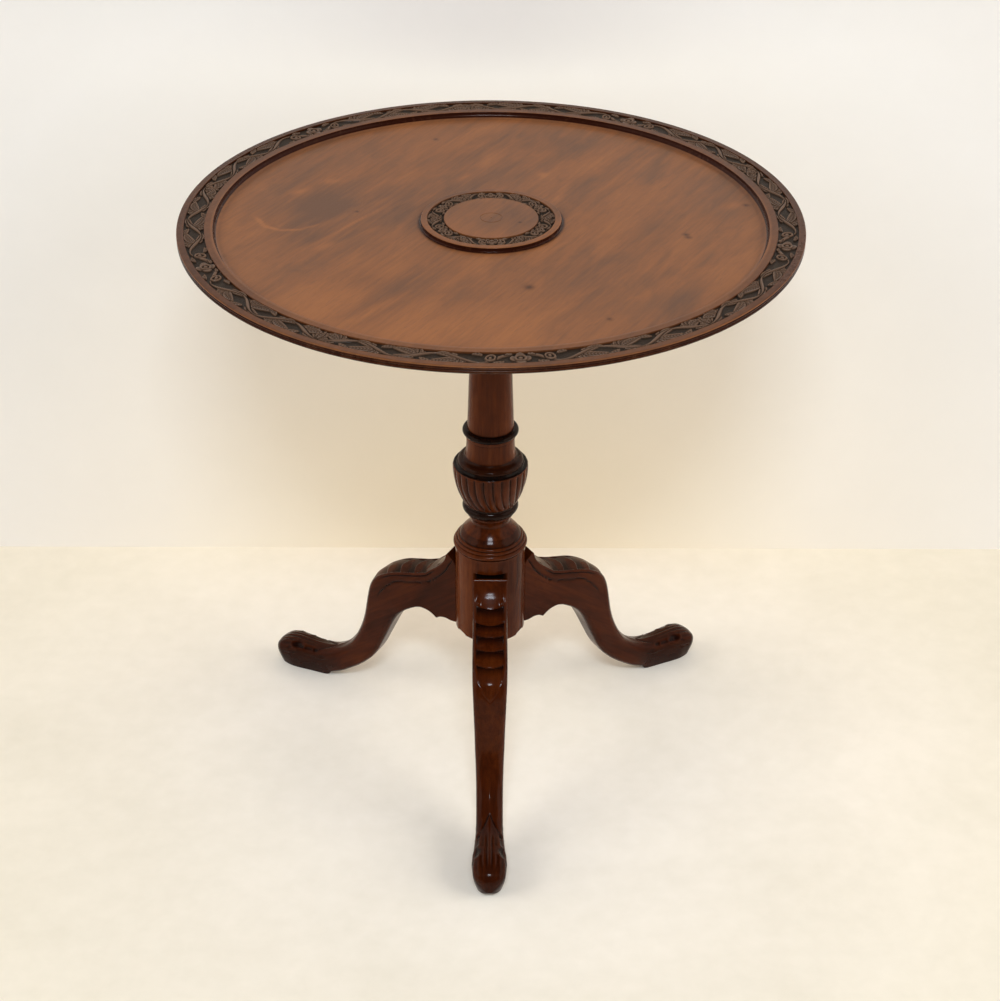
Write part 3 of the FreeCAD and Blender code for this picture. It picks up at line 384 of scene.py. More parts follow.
class NodePen:
    """Writes shader nodes for one material."""

    def __init__(self, name: str) -> None:
        """Start an empty material.

        Args:
            name: Name of the material.
        """
        self.material = bpy.data.materials.new(name)
        self.material.use_nodes = True
        self.tree = self.material.node_tree
        self.tree.nodes.clear()

    def add(self, kind: str, settings: dict | None = None, **inputs: object) -> bpy.types.Node:
        """Add a node.

        Args:
            kind: Blender's name of the node type.
            settings: Properties of the node.
            inputs: Values or output sockets, by input name with _ for a space. A name
                that ends in a number picks the input by its place.

        Returns:
            The new node.
        """
        node = self.tree.nodes.new(kind)
        for key, value in (settings or {}).items():
            setattr(node, key, value)
        for key, value in inputs.items():
            by_place = key[1:].isdigit()
            socket = node.inputs[int(key[1:]) if by_place else key.replace("_", " ")]
            if isinstance(value, Socket):
                self.tree.links.new(value, socket)
            else:
                socket.default_value = value
        return node

    def math(self, operation: str, first: object, second: object = 0.0) -> Socket:
        """Combine two numbers and give the result's socket."""
        node = self.add("ShaderNodeMath", {"operation": operation}, i0=first, i1=second)
        return node.outputs[0]

    def total(self, *parts: tuple[object, float], base: float | None = None) -> Socket:
        """Add up numbers, each taken by its share.

        Args:
            parts: Each number's socket with its share.
            base: What the sum starts from, or None for nothing.

        Returns:
            The sum's socket.
        """
        result = base
        for value, share in parts:
            taken = self.math("MULTIPLY", value, share)
            result = taken if result is None else self.math("ADD", result, taken)
        return result

    def stretched(self, vector: Socket, scale: Spot) -> Socket:
        """A place scaled along each axis."""
        settings = {"vector_type": "POINT"}
        return self.add("ShaderNodeMapping", settings, Vector=vector, Scale=scale).outputs[0]

    def ramp(self, factor: Socket,
             stops: Sequence[tuple[float, object]]) -> Socket:
        """Map a number to a colour.

        Args:
            factor: The number's socket.
            stops: Places from 0 to 1 with a colour or a grey value each.

        Returns:
            The colour's socket.
        """
        node = self.add("ShaderNodeValToRGB", i0=factor)
        elements = node.color_ramp.elements
        while len(elements) < len(stops):
            elements.new(0.5)
        for element, (place, colour) in zip(elements, stops):
            element.position = place
            grey = isinstance(colour, float)
            element.color = (colour, colour, colour, 1.0) if grey else (*colour, 1.0)
        return node.outputs[0]

    def mix(self, factor: object, first: object, second: object,
            blend: str = "MIX") -> Socket:
        """Blend two colours.

        Args:
            factor: Share of the second colour.
            first: The first colour or its socket.
            second: The second colour or its socket.
            blend: Blender's name of the blend.

        Returns:
            The colour's socket.
        """
        settings = {"data_type": "RGBA", "blend_type": blend, "clamp_factor": True}
        node = self.add("ShaderNodeMix", settings)
        for index, value in zip(MIX_INPUTS, (factor, first, second)):
            if isinstance(value, Socket):
                self.tree.links.new(value, node.inputs[index])
            elif isinstance(value, tuple):
                node.inputs[index].default_value = (*value, 1.0)
            else:
                node.inputs[index].default_value = value
        return node.outputs[MIX_RESULT]

    def mark(self, title: str) -> Socket:
        """Read one of the mesh's own per-point values."""
        node = self.add("ShaderNodeAttribute", {"attribute_name": title})
        return node.outputs["Fac"]

    def noise(self, vector: Socket, scale: float, detail: float = 4.0,
              rough: float = 0.55, warp: float = 0.0) -> Socket:
        """Noise from 0 to 1 at a number of features per metre."""
        node = self.add("ShaderNodeTexNoise", {"noise_dimensions": "3D"}, Vector=vector,
                        Scale=scale, Detail=detail, Roughness=rough, Distortion=warp)
        return node.outputs["Fac"]

    def finish(self, colour: object, roughness: object, plain: dict[str, object],
               bump: Socket | None = None, bump_height: float = 0.0,
               one_sided: bool = False) -> Material:
        """Close the material with its shader.

        Args:
            colour: Base colour or its socket.
            roughness: Roughness or its socket.
            plain: Values set on the shader's own sockets.
            bump: Height for the bump, from 0 to 1, or None.
            bump_height: What that height is worth, in metres.
            one_sided: Whether it is clear from behind.

        Returns:
            The finished material.
        """
        shader = self.add("ShaderNodeBsdfPrincipled", Base_Color=colour, Roughness=roughness)
        for key, value in plain.items():
            shader.inputs[key].default_value = value
        if bump is not None:
            node = self.add("ShaderNodeBump", Strength=1.0, Distance=bump_height, Height=bump)
            self.tree.links.new(node.outputs[0], shader.inputs["Normal"])
        surface = shader.outputs[0]
        if one_sided:
            behind = self.add("ShaderNodeNewGeometry").outputs["Backfacing"]
            clear = self.add("ShaderNodeBsdfTransparent").outputs[0]
            surface = self.add("ShaderNodeMixShader", i0=behind, i1=surface, i2=clear).outputs[0]
        self.add("ShaderNodeOutputMaterial", i0=surface)
        return self.material


@dataclass(frozen=True)
class Mahogany:
    """Polished mahogany: figure, streaks, pores, old polish with painted shade in the hollows, and
    worn ridges with a painted highlight.
    """

    name: str
    light: Colour
    middle: Colour
    dark: Colour
    old_polish_and_shade: Colour = (0.006, 0.0035, 0.0025)
    worn_and_highlight: Colour = (0.11, 0.035, 0.016)
    wear_and_highlight_share: float = 0.35
    turn: Spot = (0.0, 0.0, 0.0)
    figure_scale: float = 9.0
    roughness: float = 0.34
    gloss: float = 0.14
    coat: float = 0.12
    coat_roughness: float = 0.1
    contrast: float = 0.14
    dulling: float = 0.12
    tint: Colour = (1.0, 0.5, 0.3)
    stretch: float = 0.3
    fibre_stretch: float = 0.045
    streaks_per_metre: float = 230.0
    pores_per_metre: float = 1500.0
    blotches_per_metre: float = 120.0
    pore_depth: float = 0.00005
    pore_darkness: float = 0.5
    pore_colour: Pair = (0.3, 0.42)  # noise where a pore's colour is full and where it ends
    pore_wall: Pair = (0.3, 0.45)  # noise at a pore's bottom and at its top
    pore_share: float = 0.6
    cloud_scale: float = 0.55  # of the figure's own scale, as the next one
    ripple_scale: float = 5.0
    mottling: Pair = (0.8, 0.45)  # old polish and painted shade all over, and in blotches
    roughness_swing: float = 0.12
    figure_share: float = 0.4
    fine_share: float = 0.2
    patch_share: float = 0.16

    def material(self) -> Material:
        """Build the wood. The grain runs along X before the turn."""
        pen = NodePen(self.name)
        place = pen.add("ShaderNodeTexCoord").outputs["Object"]
        grain = pen.add("ShaderNodeMapping", {"vector_type": "TEXTURE"}, Vector=place,
                        Rotation=self.turn).outputs[0]
        along = pen.stretched(grain, (self.stretch, 1.0, 1.0))
        fibre = pen.stretched(grain, (self.fibre_stretch, 1.0, 1.0))
        figure = pen.noise(along, self.figure_scale, 3.0, 0.55, 0.6)
        cloud = pen.noise(grain, self.figure_scale * self.cloud_scale, 2.0, 0.5, 0.3)
        ripple = pen.noise(along, self.figure_scale * self.ripple_scale, 3.0, 0.65, 0.8)
        streak = pen.noise(fibre, self.streaks_per_metre, 4.0, 0.65)
        pores = pen.noise(fibre, self.pores_per_metre, 2.0, 0.5)
        blotch = pen.noise(place, self.blotches_per_metre, 3.0, 0.6)
        blend = pen.total((figure, self.figure_share), (cloud, self.fine_share),
                          (ripple, self.fine_share), (streak, self.fine_share),
                          (pen.mark("tone"), self.patch_share))
        wood = pen.ramp(blend, ((0.5 - self.contrast, self.dark), (0.5, self.middle),
                                (0.5 + self.contrast, self.light)))
        bottom, rim = self.pore_colour
        pore_mask = pen.ramp(pores, ((bottom, 1.0), (rim, 0.0)))
        wood = pen.mix(pen.math("MULTIPLY", pore_mask, self.pore_darkness), wood, self.dark)
        # ridges lighter: wear, with a painted highlight on the carving
        wood = pen.mix(pen.math("MULTIPLY", pen.mark("rub_and_highlight"), self.wear_and_highlight_share), wood, self.worn_and_highlight)
        # hollows darker: old polish, with painted shade
        even, blotched = self.mottling
        darkness = pen.total((blotch, blotched), base=even)
        polish_and_shade = pen.math("MULTIPLY", pen.mark("polish_and_shade"), darkness)
        wood = pen.mix(polish_and_shade, wood, self.old_polish_and_shade)
        roughness = pen.total((cloud, self.roughness_swing), (polish_and_shade, self.dulling),
                              base=self.roughness - self.roughness_swing / 2)
        bottom, rim = self.pore_wall
        pore_relief = pen.ramp(pores, ((bottom, 0.0), (rim, 1.0)))
        relief = pen.total((pore_relief, self.pore_share), (streak, 1.0 - self.pore_share))
        plain = {"Specular IOR Level": self.gloss, "Specular Tint": (*self.tint, 1.0),
                 "Coat Weight": self.coat, "Coat Roughness": self.coat_roughness,
                 "Coat IOR": 1.5}
        return pen.finish(wood, roughness, plain, relief, self.pore_depth)


@dataclass(frozen=True)
class Metal:
    """Aged metal: brass, iron or steel with tarnish and fine scratches."""

    name: str
    bright: Colour
    tarnish: Colour
    roughness: float
    clouds_per_metre: float = 160.0
    specks_per_metre: float = 900.0
    scratches_per_metre: float = 2600.0
    scratch_stretch: float = 0.05
    scratch_depth: float = 0.00003
    cloud_share: float = 0.7
    tarnish_edge: Pair = (0.38, 0.62)  # shade where the metal is all tarnished and all bright

    def material(self) -> Material:
        """Build the metal."""
        pen = NodePen(self.name)
        place = pen.add("ShaderNodeTexCoord").outputs["Object"]
        cloud = pen.noise(place, self.clouds_per_metre, 4.0, 0.6, 0.5)
        speck = pen.noise(place, self.specks_per_metre, 3.0, 0.6)
        brushed = pen.stretched(place, (1.0, self.scratch_stretch, 1.0))
        lines = pen.noise(brushed, self.scratches_per_metre, 2.0, 0.5)
        shade = pen.total((cloud, self.cloud_share), (speck, 1.0 - self.cloud_share))
        low, high = self.tarnish_edge
        shade = pen.ramp(shade, ((low, self.tarnish), (high, self.bright)))
        roughness = pen.total((cloud, 0.25), base=self.roughness - 0.1)
        relief = pen.total((lines, 0.5), (speck, 0.5))
        return pen.finish(shade, roughness, {"Metallic": 1.0}, relief, self.scratch_depth)


class Finish(Enum):
    """The finishes of the table."""

    # Name, light, middle and dark colour of the wood
    TOP = Mahogany(
        "top_mahogany", (0.318, 0.118, 0.041), (0.230, 0.089, 0.036), (0.137, 0.064, 0.035),
        old_polish_and_shade=(0.022, 0.0045, 0.002), turn=(0.0, 0.0, math.radians(60.0)), roughness=0.4,
        figure_scale=12.0, gloss=0.1, coat=0.1, coat_roughness=0.14, wear_and_highlight_share=0.1, contrast=0.13,
        dulling=-0.14)
    # the carving's dark colour is partly painted shade in its hollows, and its light colour partly
    # a painted highlight on its ridges
    CARVED_TOP = Mahogany(
        "carved_border_mahogany", (0.106, 0.058, 0.035), (0.086, 0.047, 0.029),
        (0.060, 0.033, 0.021), old_polish_and_shade=(0.023, 0.0155, 0.0105), worn_and_highlight=(0.20, 0.118, 0.078),
        wear_and_highlight_share=0.7, roughness=0.36, gloss=0.1, coat=0.05, tint=(1.0, 0.7, 0.5))
    STEM = Mahogany(
        "stem_mahogany", (0.116, 0.028, 0.005), (0.067, 0.0132, 0.002), (0.025, 0.0042, 0.0008),
        old_polish_and_shade=(0.004, 0.002, 0.0015), turn=(0.0, math.radians(90.0), 0.0), roughness=0.2,
        gloss=0.03, coat=0.2, coat_roughness=0.13, contrast=0.1, dulling=0.0)
    LEG = Mahogany(
        "leg_mahogany", (0.074, 0.0155, 0.0026), (0.041, 0.0072, 0.0012), (0.016, 0.0026, 0.0005),
        old_polish_and_shade=(0.007, 0.0016, 0.0008), worn_and_highlight=(0.085, 0.024, 0.008), wear_and_highlight_share=0.2,
        turn=(0.0, math.radians(38.0), 0.0), roughness=0.2, gloss=0.03, coat=0.18,
        coat_roughness=0.12, contrast=0.11, dulling=0.0)
    PLAIN = Mahogany(
        "underside_mahogany", (0.24, 0.105, 0.05), (0.17, 0.068, 0.032), (0.10, 0.04, 0.02),
        turn=(0.0, 0.0, math.radians(90.0)), roughness=0.55, coat=0.0)
    WEDGE = Mahogany(
        "wedge_wood", (0.42, 0.26, 0.13), (0.34, 0.2, 0.1), (0.24, 0.14, 0.07),
        turn=(0.0, math.radians(90.0), 0.0), roughness=0.6, coat=0.0)
    # Name, bright and tarnished colour and roughness of the metal
    BRASS = Metal("aged_brass", (0.62, 0.42, 0.16), (0.20, 0.12, 0.045), 0.36)
    IRON = Metal("forged_iron", (0.10, 0.095, 0.09), (0.03, 0.024, 0.02), 0.6)
    STEEL = Metal("screw_steel", (0.42, 0.41, 0.39), (0.16, 0.14, 0.12), 0.42)

    def __init__(self, recipe: "Mahogany | Metal") -> None:
        """Keep the recipe and no material yet."""
        self.recipe = recipe
        self.made: Material | None = None

    @property
    def material(self) -> Material:
        """The finish's material, built on first use."""
        if self.made is None:
            self.made = self.recipe.material()
        return self.made


def dress(thing: Piece, finish: Finish) -> None:
    """Give a piece one finish all over."""
    thing.data.materials.clear()
    thing.data.materials.append(finish.material)


def dress_node(node: str, finish: Finish) -> None:
    """Give a node that keeps its CAD shape a better finish, in its own slots.

    Args:
        node: Name of the CAD node.
        finish: Its finish.
    """
    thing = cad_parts[node]
    for slot in thing.material_slots:
        slot.material = finish.material


# Carved relief

def blurred(grid: Array, reach: int) -> Array:
    """Average a grid over a square window, round the ring and up to its borders.

    Args:
        grid: The values, lines by columns.
        reach: How many columns and lines the window runs, each way.

    Returns:
        The averages.
    """
    size = 2 * reach + 1
    looped = np.concatenate([grid[:, -reach - 1:], grid, grid[:, :reach]], axis=1)
    total = np.cumsum(looped, axis=1)
    grid = (total[:, size:] - total[:, :-size]) / size
    padded = np.concatenate([np.repeat(grid[:1], reach + 1, axis=0), grid,
                             np.repeat(grid[-1:], reach, axis=0)])
    total = np.cumsum(padded, axis=0)
    return (total[size:] - total[:-size]) / size


class Relief:
    """A strip of carved ornament, unrolled: along its middle line and across it.

    Every form is laid over the ones before it, with a narrow cut round its edge.
    """

    cut_width: float = 1.3
    cut_end: float = 0.15
    cut_share: float = 0.85
    edge: Pair = (-0.35, 0.15)  # inside a form's outline, where it starts and where it is whole
    stem_flatness: float = 0.8
    rib_height: float = 0.3
    vein_height: float = 0.13
    vein_spacing: float = 3.3
    dish_floor: float = 0.56

    def __init__(self, length: float, width: float, columns: int, lines: int) -> None:
        """Lay out the empty ground.

        Args:
            length: The strip's length along its middle line.
            width: Its width.
            columns: Points along it.
            lines: Points across it.
        """
        self.length = length
        self.width = width
        self.columns = columns
        self.height = np.zeros((lines, columns))
        self.across = np.linspace(-width / 2, width / 2, lines)
        self.pitch = length / columns

    def window(self, at: float, reach: float) -> tuple[Array, Array, Array]:
        """The part of the strip around a place.

        Args:
            at: The place along the strip.
            reach: How far the part runs, each way.

        Returns:
            The column numbers, and the grids of the place along, counted from at, and
            of the place across.
        """
        first = math.floor((at - reach) / self.pitch)
        last = math.ceil((at + reach) / self.pitch)
        numbers = np.arange(first, last + 1)
        along, across = np.meshgrid(numbers * self.pitch - at, self.across)
        return numbers % self.columns, along, across

    def lay(self, columns: Array, inset: Array, form: Array) -> None:
        """Lay a form over the strip and cut round it.

        Args:
            columns: The columns of the window.
            inset: Distance of each point inside the form's edge, negative outside.
            form: The form's height.
        """
        cut = smoothstep(-self.cut_width, -self.cut_end, inset)
        kept = self.height[:, columns] * (1.0 - self.cut_share * cut)
        share = smoothstep(*self.edge, inset)
        self.height[:, columns] = kept * (1.0 - share) + form * share

    def stem(self, points: Array, thick: Array, height: float) -> None:
        """Carve a rounded stem.

        Args:
            points: Places along and across, in order.
            thick: Half the stem's thickness at each place.
            height: How high it stands.
        """
        middle = float(points[:, 0].mean())
        reach = float(np.abs(points[:, 0] - middle).max()) + 4.0
        columns, along, across = self.window(middle, reach)
        inset = np.full_like(along, -9.0)
        for (u, v), half in zip(points, thick):
            inset = np.maximum(inset, half - np.hypot(along - (u - middle), across - v))
        share = clamped(1.0 - inset / float(thick.max()))
        self.lay(columns, inset, height * np.sqrt(1.0 - self.stem_flatness * share**2))

    def leaf(self, at: Place, heading: float, length: float, half: float, bend: float,
             height: float) -> None:
        """Carve one hollowed lobe with crisp edges and a midrib.

        Args:
            at: The lobe's root.
            heading: Its direction in degrees, 0 along the strip.
            length: Its length.
            half: Half its width.
            bend: How far its middle bows to its left.
            height: How high its edges stand.
        """
        columns, along, across = self.window(at[0], length + half + 2.0)
        x, y = turned_frame(along, across - at[1], heading)
        t = clamped(x / length)
        y = y - 4.0 * bend * t * (1.0 - t)
        edge = half * np.sin(math.pi * t**0.8) ** 0.8
        beyond = np.maximum(np.maximum(-x, x - length), 0.0)
        inset = edge - np.hypot(y, beyond)
        share = clamped(np.abs(y) / np.maximum(edge, 0.3))
        rib = self.rib_height * hill(y, 0.0, 0.75) * (1.0 - 0.6 * t)
        veins = np.cos(FULL_TURN * (x - 0.9 * np.abs(y)) / self.vein_spacing) * (1.0 - share**3)
        dish = self.dish_floor + 0.4 * share**1.4 + self.vein_height * veins
        self.lay(columns, inset, height * np.minimum(dish * (0.78 + 0.22 * t) + rib, 1.0))

    def volute(self, at: Place, wide: float, tall: float, turn: float, height: float) -> None:
        """Carve an oval bud: a rolled rim round a hollow with a drop in it.

        Args:
            at: Its centre.
            wide: Half its size along its own axis.
            tall: Half its size across that axis.
            turn: The axis's direction in degrees.
            height: How high it stands.
        """
        columns, along, across = self.window(at[0], wide + tall)
        x, y = turned_frame(along, across - at[1], turn)
        reach = np.hypot(x / wide, y / tall)
        inset = (1.0 - reach) * min(wide, tall)
        rim = hill(reach, 0.8, 0.19)
        drop = 0.95 * hill(np.hypot((x + wide * 0.12) / wide, y / tall), 0.0, 0.34, 4)
        self.lay(columns, inset, height * np.maximum(rim, drop))

    def rosette(self, at: Place, radius: float, height: float, petals: int) -> None:
        """Carve a round flower: petals, a ring and a boss.

        Args:
            at: Its centre.
            radius: Radius over its petals.
            height: How high it stands.
            petals: How many petals it has.
        """
        columns, along, across = self.window(at[0], radius + 2.0)
        distance = np.hypot(along, across - at[1])
        angle = np.arctan2(across - at[1], along)
        wave = np.abs(np.cos(angle * petals / 2))
        rim = radius * (0.72 + 0.28 * wave**1.4)
        petal = 0.35 + 0.5 * wave**0.8
        ring = hill(distance, radius * 0.5, radius * 0.15, 4)
        boss = 0.95 * hill(distance, 0.0, radius * 0.26, 4)
        form = np.maximum(np.maximum(petal * (distance > radius * 0.62), ring), boss)
        self.lay(columns, rim - distance, height * np.maximum(form, 0.04))


@dataclass(frozen=True)
class Lobe:
    """One lobe of the vine's leaves. It is mirrored with the cup that its wave makes."""

    place: float  # from the wave's root, in waves
    height: float  # share of the border's half width
    lean: float  # degrees outwards
    length: float
    last_length: float  # length in the last wave, 0 where it has none
    half: float
    bend: float
    drift: int = 0  # which of the wave's small differences it follows
    lean_drift: float = 0.0
    length_drift: float = 0.0


@dataclass
class VineBorder:
    """A ring of running vine around the top, with a rosette in every section."""

    name: str = "rim_carving"
    inner_radius: float = RIM_BAND[0]
    outer_radius: float = RIM_BAND[1]
    fillet_level: float = RIM_LEVEL
    floor_depth: float = BAND_SINK
    under_floor: float = 0.35
    ground_depth: float = 2.6
    crown: float = 2.55
    sections: int = 5
    first_rosette: float = -84.9
    columns: int = 3600
    lines: int = 52
    waves: int = 4
    first_crest: float = 38.0
    rosette_share: float = 0.94
    scale: float = 1.0
    seed: int = 7
    tool_marks: float = 0.12
    swing: float = 0.7
    stem_thickness: float = 1.3
    stem_swell: float = 0.6
    stem_step: float = 0.7
    # darkness of the low ground and of the cuts round the forms, old polish with painted shade, and
    # lightness of the forms' edges and crowns, wear with a painted highlight
    ground_polish_and_shade: float = 1.7
    cut_polish_and_shade: float = 4.5
    edge_rub_and_highlight: float = 3.4
    crown_rub_and_highlight: float = 1.3
    lobes: tuple[Lobe, ...] = (
        Lobe(-0.16, 0.62, 10.0, 15.0, 15.0, 2.9, -1.6),
        Lobe(0.06, -0.52, -16.0, 12.0, 12.0, 2.6, 1.2),
        Lobe(-0.04, 0.12, 78.0, 12.0, 12.0, 3.5, 0.8, drift=0, lean_drift=4.0),
        Lobe(0.12, -0.12, -16.0, 23.0, 0.0, 3.6, -2.6, drift=1, lean_drift=4.0),
        Lobe(0.03, 0.08, 50.0, 17.0, 17.0, 4.3, 1.4, drift=2, lean_drift=4.0),
        Lobe(0.02, -0.05, 17.0, 29.0, 19.0, 4.7, 2.4, drift=0, length_drift=3.0),
        Lobe(0.62, 0.9, -22.0, 14.0, 0.0, 2.8, 1.2),
    )
    fan: Row = (62.0, -62.0, 33.0, -33.0, 0.0)  # the palmette's lobes, degrees

    def carve(self) -> Relief:
        """Carve the vine on its unrolled strip.

        Returns:
            The finished relief.
        """
        middle = (self.inner_radius + self.outer_radius) / 2
        width = self.outer_radius - self.inner_radius
        strip = Relief(FULL_TURN * middle, width, self.columns, self.lines)
        chance = np.random.default_rng(self.seed)
        strip.height += chance.uniform(0.0, self.tool_marks, strip.height.shape) * self.crown
        span = strip.length / self.sections
        for section in range(self.sections):
            centre = section * span
            for side in (-1.0, 1.0):
                self.half_section(strip, centre, side, span / 2, chance)
            self.palmette(strip, centre + span / 2)
            strip.rosette((centre, 0.0), strip.width / 2 * self.rosette_share, self.crown, 4)
        return strip

    def half_section(self, strip: Relief, centre: float, side: float, span: float,
                     chance: np.random.Generator) -> None:
        """Carve the vine from a rosette to the middle of its section.

        Args:
            strip: The relief.
            centre: The rosette's place.
            side: Which way the vine runs, -1 or 1.
            span: Length of the half section.
            chance: Source of the small differences between leaves.
        """
        half = strip.width / 2
        wave = (span - self.first_crest) / self.waves

        def place(distance: float, height: float) -> Place:
            """A place by its distance from the rosette and its share of the half width."""
            return centre + side * distance, height * half

        def lobe(distance: float, height: float, lean: float, length: float, wide: float,
                 bend: float) -> None:
            """Carve a lobe that leans outwards by so many degrees."""
            heading = lean if side > 0 else 180.0 - lean
            strip.leaf(place(distance, height), heading, length * self.scale,
                       wide * self.scale, side * bend * self.scale, self.crown)

        for number in range(1, self.waves + 1):
            root = self.first_crest + wave * (number - 0.5)
            cup = 1.0 if number % 2 else -1.0
            drifts = chance.uniform(-1.0, 1.0, 3)
            last = number == self.waves
            for leaf in self.lobes:
                drift = float(drifts[leaf.drift])
                length = leaf.last_length if last else leaf.length + leaf.length_drift * drift
                if length > 0.0:
                    lobe(root + leaf.place * wave, cup * leaf.height,
                         cup * (leaf.lean + leaf.lean_drift * drift), length, leaf.half,
                         cup * leaf.bend)
        self.vine(strip, centre, side, span, wave)
        first = self.first_crest
        lobe(first * 0.42, 0.55, 10.0, 11.0, 2.2, 1.2)
        strip.volute(place(first * 0.76, -0.12), half * 0.62, half * 0.5, side * 62.0, self.crown)
        lobe(first * 0.96, -0.62, -8.0, 11.0, 2.3, -1.6)
        lobe(first * 0.2, -0.75, 18.0, 8.0, 1.8, -1.2)

    def vine(self, strip: Relief, centre: float, side: float, span: float, wave: float) -> None:
        """Carve the stem of a half section, thickest between its crests.

        Args:
            strip: The relief.
            centre: The rosette's place.
            side: Which way the vine runs, -1 or 1.
            span: Length of the half section.
            wave: Length from one crest to the next.
        """
        first = self.first_crest
        along = np.arange(first * 0.3, span + 0.2, self.stem_step * self.scale)
        sway = np.where(along < first, 1.9 * smoothstep(first * 0.28, first, along) - 0.9,
                        np.cos(math.pi * (along - first) / wave))
        points = np.stack([centre + side * along, strip.width / 2 * self.swing * sway], axis=1)
        swell = self.stem_swell * np.cos(math.pi + FULL_TURN * (along - first) / wave)
        strip.stem(points, (self.stem_thickness + swell) * self.scale, self.crown * 0.96)

    def palmette(self, strip: Relief, at: float) -> None:
        """Carve the fan of lobes in the middle between two rosettes."""
        half = strip.width / 2
        for lean in self.fan:
            length = half * (1.5 - 0.55 * abs(lean) / self.fan[0])
            strip.leaf((at, half * 0.62), -90.0 + lean, length, 2.4 * self.scale, -lean * 0.02,
                       self.crown)

    def build(self) -> Piece:
        """Bend the carved strip round the top and close it below.

        Returns:
            The border's ring.
        """
        strip = self.carve()
        radius = np.linspace(self.inner_radius, self.outer_radius, self.lines)
        azimuth = math.radians(self.first_rosette) + ring_angles(self.columns)
        top = self.fillet_level - self.ground_depth + strip.height
        foot = self.fillet_level - self.floor_depth - self.under_floor
        rows_r = np.concatenate([radius, radius[::-1]])
        heights = np.concatenate([top, np.full_like(top, foot)])
        grid_r, grid_a = np.meshgrid(rows_r, azimuth, indexing="ij")
        rows = ring_points(grid_r, grid_a, heights)
        raised = strip.height / self.crown
        proud = raised - blurred(blurred(raised, 3), 2)
        # painted shade with old polish on the low ground and in the cuts round the forms; painted
        # highlight with wear on their proud edges
        polish_and_shade = clamped(1.0 - self.ground_polish_and_shade * raised) + clamped(-proud * self.cut_polish_and_shade)
        polish_and_shade = clamped(polish_and_shade)
        rub_and_highlight = clamped(proud * self.edge_rub_and_highlight) * clamped(raised * self.crown_rub_and_highlight)
        under = np.zeros_like(raised)
        ring = skin(self.name, rows, np.concatenate([polish_and_shade, under]),
                    np.concatenate([rub_and_highlight, under]), closed_rows=True)
        dress(ring, Finish.CARVED_TOP)
        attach(ring, "top")
        return ring


# Top

